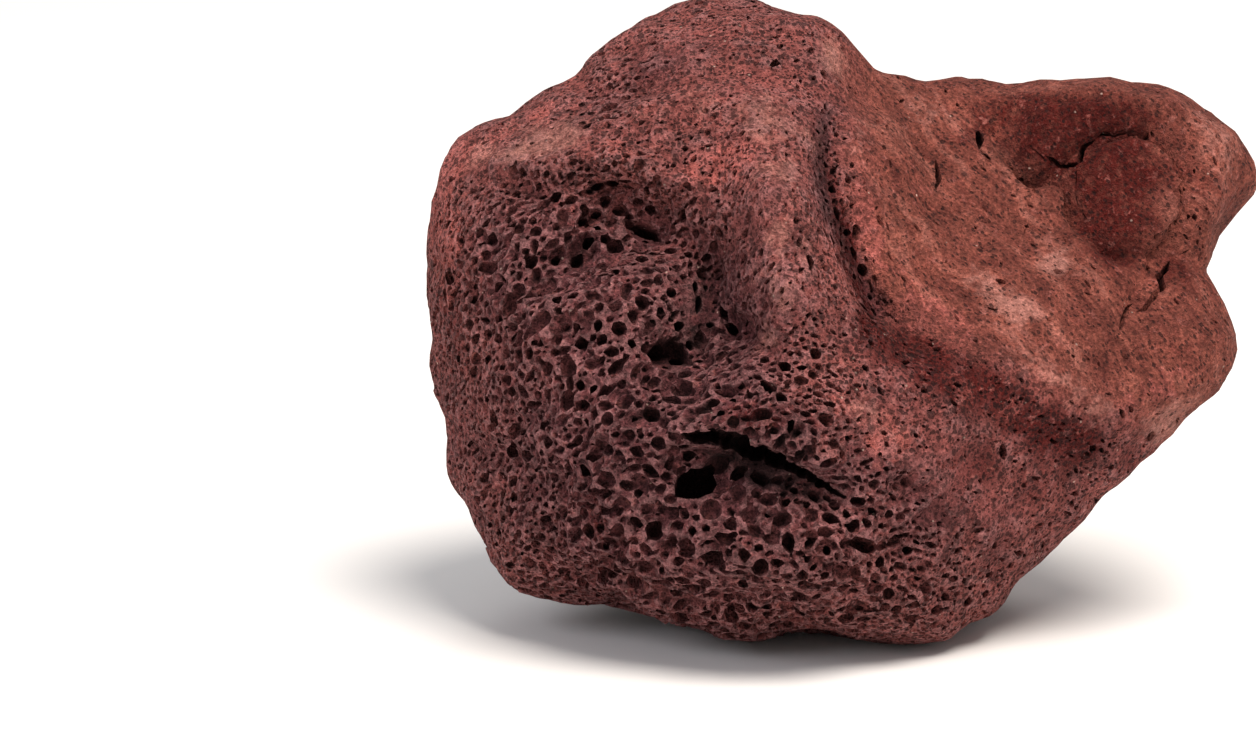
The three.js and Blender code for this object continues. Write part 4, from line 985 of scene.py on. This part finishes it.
def makeScoria():
    material = bpy.data.materials.new("dull red scoria")
    material.use_nodes = True
    tree = material.node_tree
    tree.nodes.clear()
    place = addNode(tree, "ShaderNodeVectorMath", {
        0: addNode(tree, "ShaderNodeTexCoord").outputs["Object"], "Scale": 1 / mm}, operation="SCALE").outputs[0]
    held = {name: addNode(tree, "ShaderNodeAttribute", attribute_name=name).outputs["Fac"]
            for name in ("crust", "foam", "red", "flush", "pale", "shut", "ridge")}
    way = Vector(flow["way"]).to_track_quat("X", "Z").to_euler()
    swirl = addNode(tree, "ShaderNodeTexNoise", {"Vector": place, "Scale": 1 / grain["mottle"], "Detail": 1.0})
    stray = addNode(tree, "ShaderNodeTexNoise", {"Vector": place, "Scale": 1 / grain["warpSize"], "Detail": 2.0})
    bent, frayedPlace = (addNode(tree, "ShaderNodeVectorMath", {
        0: noise.outputs["Color"], 1: [far] * 3, 2: place}, operation="MULTIPLY_ADD").outputs[0]
        for noise, far in ((swirl, grain["streakBend"]), (stray, grain["warp"])))
    drawn, drawnShort = (addNode(tree, "ShaderNodeMapping", {
        "Vector": vector, "Rotation": way, "Scale": (grain[long], grain[wide], grain[wide])},
        vector_type="TEXTURE").outputs[0]
        for vector, long, wide in ((bent, "streakLong", "streakWide"), (frayedPlace, "drawnLong", "drawnWide")))
    cloud = {}
    for name, vector, scale, detail in (
            ("mottle", place, 1 / grain["mottle"], 3), ("fleck", place, 1 / grain["fleck"], 5),
            ("clump", place, 1 / grain["clump"], 3), ("grit", place, 1 / grain["grit"], 3),
            ("streak", drawn, 1, 4), ("drift", drawn, wear["drift"], 3)):
        noise = addNode(tree, "ShaderNodeTexNoise", {
            "Vector": vector, "Scale": scale, "Detail": detail, "Roughness": wear["cloudRough"]})
        cloud[name] = addNode(tree, "ShaderNodeMapRange", {
            "Value": noise.outputs["Fac"], "From Min": wear["cloud"][0], "From Max": wear["cloud"][1]}).outputs[0]

    # Pores too small to cut: balls of random size that the surface slices, drawn out in the crust; their dark is
    # painted shade, and they also dip the bump. Each row: where they are, how fine, their least and greatest
    # radius as a share of a cell, and how deep they show
    froth = addNode(tree, "ShaderNodeMapRange", {
        "Value": held["crust"], "To Min": 1.0, "To Max": wear["crustPores"]}).outputs[0]
    whole = addNode(tree, "ShaderNodeMath", {
        0: held["foam"], 1: wear["foamCalm"], 2: held["pale"]}, operation="MULTIPLY_ADD").outputs[0]
    calm = addNode(tree, "ShaderNodeMapRange", {
        "Value": whole, "To Min": 1.0, "To Max": wear["calmPores"]}).outputs[0]
    froth = addNode(tree, "ShaderNodeMath", {0: froth, 1: calm}, operation="MULTIPLY").outputs[0]
    deep = None
    for vector, scale, least, most, share in (
            (frayedPlace, 1 / grain["largePores"], -0.5, 0.52, froth),
            (frayedPlace, 1 / grain["pores"], -0.1, 0.6, froth),
            (frayedPlace, 1 / grain["finePores"], 0.0, 0.6, froth),
            (drawnShort, 1, -0.03, 0.49, held["crust"])):
        cells = addNode(tree, "ShaderNodeTexVoronoi", {"Vector": vector, "Scale": scale})
        dice = addNode(tree, "ShaderNodeSeparateColor", {"Color": cells.outputs["Color"]}).outputs[0]
        edge = addNode(tree, "ShaderNodeMapRange", {"Value": dice, "To Min": least, "To Max": most}).outputs[0]
        core = addNode(tree, "ShaderNodeMath", {0: edge, 1: wear["poreEdge"]}, operation="SUBTRACT").outputs[0]
        mask = addNode(tree, "ShaderNodeMapRange", {
            "Value": cells.outputs["Distance"], "From Min": edge, "From Max": core}).outputs[0]
        mask = addNode(tree, "ShaderNodeMath", {0: mask, 1: share}, operation="MULTIPLY").outputs[0]
        deep = mask if deep is None else addNode(
            tree, "ShaderNodeMath", {0: deep, 1: mask}, operation="MAXIMUM").outputs[0]

    crusty = addNode(tree, "ShaderNodeMix", {
        0: wear["driftInCrust"], 2: cloud["streak"], 3: cloud["drift"]}).outputs[0]
    slope, foam, crust = (addNode(tree, "ShaderNodeMix", {
        0: value, 6: linear(colours[name + "Dark"]), 7: linear(colours[name + "Light"])},
        data_type="RGBA").outputs[2]
        for name, value in (("slope", cloud["fleck"]), ("foam", cloud["fleck"]), ("crust", crusty)))
    colour = slope
    for share, ground in ((held["foam"], foam), (held["crust"], crust)):
        colour = addNode(tree, "ShaderNodeMix", {0: share, 6: colour, 7: ground}, data_type="RGBA").outputs[2]
    drift, streak = (addNode(tree, "ShaderNodeMath", {
        0: cloud[name], 1: held["crust"]}, operation="MULTIPLY").outputs[0] for name in ("drift", "streak"))
    crystals = addNode(tree, "ShaderNodeTexVoronoi", {"Vector": place, "Scale": 1 / grain["crystals"]})
    frayed = addNode(tree, "ShaderNodeMath", {0: cloud["fleck"], 1: 0.5}, operation="SUBTRACT").outputs[0]
    # Each layer: what it follows, how much flecks fray it, where it starts and is full, its cover and its colour
    for value, fray, start, full, most, name in (
            (drift, 0.3, 0.55, 1.0, 0.28, "dusty"), (held["red"], 1.1, 0.0, 1.0, 0.93, "deepRed"),
            (held["flush"], 0.8, 0.15, 0.9, 0.85, "flush"), (held["pale"], 0.8, 0.15, 0.95, 0.76, "dusty"),
            # The rim row is partly a painted highlight on sharp bends and partly wear; the dark rows after it are
            # painted shade in creases, shut-in hollows and pores too small to cut
            (held["ridge"], 0.3, 0.2, 0.75, 0.5, "rim"), (held["ridge"], -0.2, -0.1, -0.7, 0.3, "hollowShade"),
            (held["shut"], 0.3, 0.48, 1.05, 0.84, "hollowShade"), (deep, 0.0, 0.0, 1.0, 0.76, "hollowShade"),
            (crystals.outputs["Distance"], 0.0, 0.07, 0.03, 0.7, "crystal")):
        if fray:
            value = addNode(tree, "ShaderNodeMath", {
                0: frayed, 1: fray, 2: value}, operation="MULTIPLY_ADD").outputs[0]
        share = addNode(tree, "ShaderNodeMapRange", {
            "Value": value, "From Min": start, "From Max": full, "To Max": most}).outputs[0]
        colour = addNode(tree, "ShaderNodeMix", {
            0: share, 6: colour, 7: linear(colours[name])}, data_type="RGBA").outputs[2]

    rough = 0.0
    for value, rise in ((cloud["grit"], grain["gritDeep"]), (cloud["clump"], grain["clumpDeep"]),
                        (cloud["fleck"], grain["fleckDeep"]), (streak, grain["streakDeep"])):
        rough = addNode(tree, "ShaderNodeMath", {0: value, 1: rise, 2: rough}, operation="MULTIPLY_ADD").outputs[0]
    height = addNode(tree, "ShaderNodeMath", {
        0: deep, 1: -grain["poreDeep"], 2: rough}, operation="MULTIPLY_ADD").outputs[0]
    # Painted shade and highlight: the bump's low spots are painted darker and its high ones paler, less so in the
    # crust;
    # grit, mottle and drift vary the tone at random. Each row: what it follows, where that is highest, and how
    # dark and how light it makes the stone
    uneven = addNode(tree, "ShaderNodeMapRange", {
        "Value": held["crust"], "To Min": 1.0, "To Max": wear["crustShade"]}).outputs[0]
    for value, high, low, lift in (
            (rough, 2.1, 0.5, 1.62), (cloud["grit"], 1.0, 0.6, 1.42), (cloud["mottle"], 1.0, 0.8, 1.2),
            (cloud["drift"], 1.0, 0.85, 1.15)):
        shade = addNode(tree, "ShaderNodeMapRange", {
            "Value": value, "From Max": high, "To Min": low, "To Max": lift}).outputs[0]
        colour = addNode(tree, "ShaderNodeMix", {
            0: uneven, 6: colour, 7: shade}, data_type="RGBA", blend_type="MULTIPLY").outputs[2]

    bump = addNode(tree, "ShaderNodeBump", {"Height": height, "Strength": 1.0, "Distance": mm})
    dull = addNode(tree, "ShaderNodeMapRange", {
        "Value": held["crust"], "To Min": wear["dullFroth"], "To Max": wear["dullCrust"]}).outputs[0]
    shader = addNode(tree, "ShaderNodeBsdfPrincipled", {
        "Base Color": colour, "Roughness": dull, "Specular IOR Level": wear["gloss"],
        "Normal": bump.outputs["Normal"]})
    addNode(tree, "ShaderNodeOutputMaterial", {"Surface": shader.outputs["BSDF"]})
    print("scoria:", len(tree.nodes), "nodes")
    return material


finish = {
    "skinShare": 0.6,  # of the skin's faces that stay, most of them where it bends
    "mostTriangles": 194000,
    "sharpAngle": 46.0,
    "grooveShade": 0.8,
    "ridgeGain": 2.2, "ridgeCrust": 0.8, "ridgeRed": 0.5,  # how sharp bends count, less in the crust and red
    "mapHalf": 0.49,  # half the side of the unfolded map
    # Rays that feel how shut in a point is: how many, how far they lean, and their start and reach in mm
    "rays": 6, "rayLean": 42.0, "rayStart": 0.05, "rayReach": 13.0,
}


def thin(piece, share):
    thinning = piece.modifiers.new("thinning", "DECIMATE")
    thinning.ratio = share
    baked(piece, piece.name)


def cleanMesh(mesh):  # only triangles, and only the one great piece, without chips between bubbles
    work = bmesh.new()
    work.from_mesh(mesh)
    bmesh.ops.triangulate(work, faces=[face for face in work.faces if len(face.verts) > 3])
    unseen, parts = set(work.verts), []
    while unseen:
        edge = [unseen.pop()]
        part = set(edge)
        while edge:
            fresh = {link.other_vert(vertex) for vertex in edge for link in vertex.link_edges} - part
            part |= fresh
            edge = list(fresh)
        unseen -= part
        parts.append(part)
    parts.sort(key=len)
    bmesh.ops.delete(work, geom=[vertex for part in parts[:-1] for vertex in part], context="VERTS")
    print("chips taken away:", len(parts) - 1)
    work.to_mesh(mesh)
    work.free()


scoria = makeScoria()
for group in (cutters, ballShapes):
    bpy.context.scene.collection.children.link(group)
lavaRock = meshOf("lavaRock", moved(skinPoints, toRow), skinFaces)
thin(lavaRock, finish["skinShare"])
carving = lavaRock.modifiers.new("open bubbles", "NODES")
carving.node_group = makeCarving()
for name, value in (
        ("Bubble Points", bubblePoints), ("Ball Shapes", ballShapes), ("Larger Cuts", cutters),
        ("Bubble Scale", 1.0), ("Stone", scoria)):
    setInput(carving, name, value)
baked(lavaRock, "lavaRock")
print("carved:", len(lavaRock.data.polygons), "faces")
for piece in [bubblePoints, *cutters.objects, *ballShapes.objects]:
    bpy.data.objects.remove(piece)
for group in (cutters, ballShapes):
    bpy.data.collections.remove(group)
cleanMesh(lavaRock.data)
triangles = len(lavaRock.data.polygons)
if triangles > finish["mostTriangles"]:
    thin(lavaRock, finish["mostTriangles"] / triangles)
stone = lavaRock.data
stone.shade_smooth()
stone.set_sharp_from_angle(angle=math.radians(finish["sharpAngle"]))
print("thinned:", triangles, "to", len(stone.polygons), "triangles")


def gathered(items, key, width, kind=float):
    found = np.empty(len(items) * width, kind)
    items.foreach_get(key, found)
    return found.reshape(-1, width) if width > 1 else found


settled = gathered(stone.vertices, "co", 3)
settled[:, 2] = np.maximum(settled[:, 2], 0)  # thinning leaves a few corners a hair below the flat
stone.vertices.foreach_set("co", settled.ravel())
stone.update()


def shutIn(places, normals):  # of short rays from each point, the share that meet rock
    tree = BVHTree.FromPolygons(places.tolist(), gathered(stone.polygons, "vertices", 3, np.int32).tolist())
    across = unit(np.cross(normals, np.where(np.abs(normals[:, :1]) < 0.7, (1, 0, 0), (0, 1, 0))))
    upward = np.cross(normals, across)
    starts = places + normals * finish["rayStart"] * mm
    met = np.zeros(len(places))
    lean = math.radians(finish["rayLean"])
    for turn in np.arange(finish["rays"]) * 2 * math.pi / finish["rays"]:
        ways = normals * math.cos(lean) + (across * math.cos(turn) + upward * math.sin(turn)) * math.sin(lean)
        met += [tree.ray_cast(start, way, finish["rayReach"] * mm)[0] is not None
                for start, way in zip(starts.tolist(), ways.tolist())]
    return met / finish["rays"]


def writeFinishes():  # what the material reads: the finishes, how shut in a point is (for painted shade) and how sharply it bends (for a rim colour that is partly painted highlight, and painted shade in creases)
    places = gathered(stone.vertices, "co", 3)
    normals = gathered(stone.vertices, "normal", 3)
    links = gathered(stone.edges, "vertices", 2, np.int32)
    spots = moved(places, toRow.inverted())
    values = finishes(spots)
    # Painted shade: the colour darkens where short rays meet rock, in the groove and in the shade zones
    values["shut"] = np.maximum(shutIn(places, normals), finish["grooveShade"] * inGroove(spots))
    values["shut"] += ovals(spots, zones["shade"])
    gap = places[links[:, 1]] - places[links[:, 0]]
    span = np.linalg.norm(gap, axis=1) + 1e-9  # never 0
    bends = np.zeros(len(places))
    counts = np.bincount(links.ravel(), minlength=len(places))
    np.add.at(bends, links[:, 0], -(gap * normals[links[:, 0]]).sum(axis=1) / span)
    np.add.at(bends, links[:, 1], (gap * normals[links[:, 1]]).sum(axis=1) / span)
    rubbedAndLit = (1 - finish["ridgeCrust"] * values["crust"]) * (1 - finish["ridgeRed"] * values["red"])
    values["ridge"] = np.clip(bends / np.maximum(counts, 1) * finish["ridgeGain"], -1, 1) * rubbedAndLit
    for name, value in values.items():
        stone.attributes.new(name, "FLOAT", "POINT").data.foreach_set("value", value)


writeFinishes()


def foldedMap():  # the whole stone unfolded on one square, the front in its middle
    places = moved(gathered(stone.vertices, "co", 3), toRow.inverted()) - heart
    places /= np.abs(places).sum(axis=1, keepdims=True)
    starts = gathered(stone.polygons, "loop_start", 1, np.int32)
    loops = gathered(stone.loops, "vertex_index", 1, np.int32)
    face = np.repeat(np.arange(len(starts)), np.diff(np.append(starts, len(loops))))
    middles = places[loops[starts]] + places[loops[starts + 1]] + places[loops[starts + 2]]
    side = np.where(middles[:, :2] >= 0, 1, -1)[face]
    spots = places[loops]
    folded = (1 - spots[:, 1::-1] * side[:, ::-1]) * side
    flat = np.where((middles[face, 2] < 0)[:, None] & (spots[:, 2:] < 0), folded, spots[:, :2])
    layer = stone.uv_layers.new(name="OFBake", do_init=False)
    layer.uv.foreach_set("vector", (0.5 + finish["mapHalf"] * flat).astype(np.float32).ravel())


foldedMap()
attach(lavaRock, "root")
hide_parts("lava_rock")
print("stone:", len(stone.polygons), "triangles")

# A plain pale floor, soft studio light, and the camera where the survey's eye is
studio = {
    "floor": "#f4f3f1",
    "air": ("#ffffff", 0.36),
    # Each light: where it stands and its size in m, its power in W and its tint
    "lights": [
        ((0.9, -1.2, 3.4), 2.0, 164, "#fff6ee"),
        ((-2.4, -1.8, 2.0), 2.0, 34, "#f6f6ff"),
        ((0.4, 2.6, 2.6), 2.0, 22, "#ffffff"),
    ],
    "floorHalf": 4.0, "paperRough": 0.9, "aimHeight": 0.07,  # m, and the height that the lights face
    "frameWidth": 314.0,  # mm that the picture spans at the stone's middle
}


def makeStudio():
    half = studio["floorHalf"]
    square = [(-half, -half, 0), (half, -half, 0), (half, half, 0), (-half, half, 0)]
    floor = meshOf("floor", square, [(0, 1, 2, 3)])
    paper = bpy.data.materials.new("matte white paper")
    paper.use_nodes = True
    shader = paper.node_tree.nodes["Principled BSDF"]
    shader.inputs["Base Color"].default_value = linear(studio["floor"])
    shader.inputs["Roughness"].default_value = studio["paperRough"]
    floor.data.materials.append(paper)
    world = bpy.data.worlds.new("soft air")
    world.use_nodes = True
    sky = world.node_tree.nodes["Background"]
    sky.inputs["Color"].default_value = linear(studio["air"][0])
    sky.inputs["Strength"].default_value = studio["air"][1]
    scene = bpy.context.scene
    scene.world = world
    middle = Vector((0, 0, studio["aimHeight"]))
    for index, (place, size, power, tint) in enumerate(studio["lights"]):
        lamp = bpy.data.lights.new(f"softbox{index + 1}", "AREA")
        lamp.shape, lamp.size, lamp.energy = "DISK", size, power
        lamp.color = linear(tint)[:3]
        box = bpy.data.objects.new(lamp.name, lamp)
        box.location = place
        box.rotation_euler = (middle - Vector(place)).to_track_quat("-Z", "Y").to_euler()
        scene.collection.objects.link(box)
    camera = bpy.data.objects.new("camera", bpy.data.cameras.new("camera"))
    camera.data.lens = camera.data.sensor_width * eye[2] / studio["frameWidth"]
    camera.data.clip_end = 5 * studio["floorHalf"]
    place = toRow @ Vector(eye)
    aim = toRow @ Vector((eye[0], eye[1], 0))
    camera.location = place
    camera.rotation_euler = (aim - place).to_track_quat("-Z", "Y").to_euler()
    scene.collection.objects.link(camera)
    scene.camera = camera
    scene.view_settings.view_transform = "Standard"
    print("studio:", len(studio["lights"]), "lights")


makeStudio()
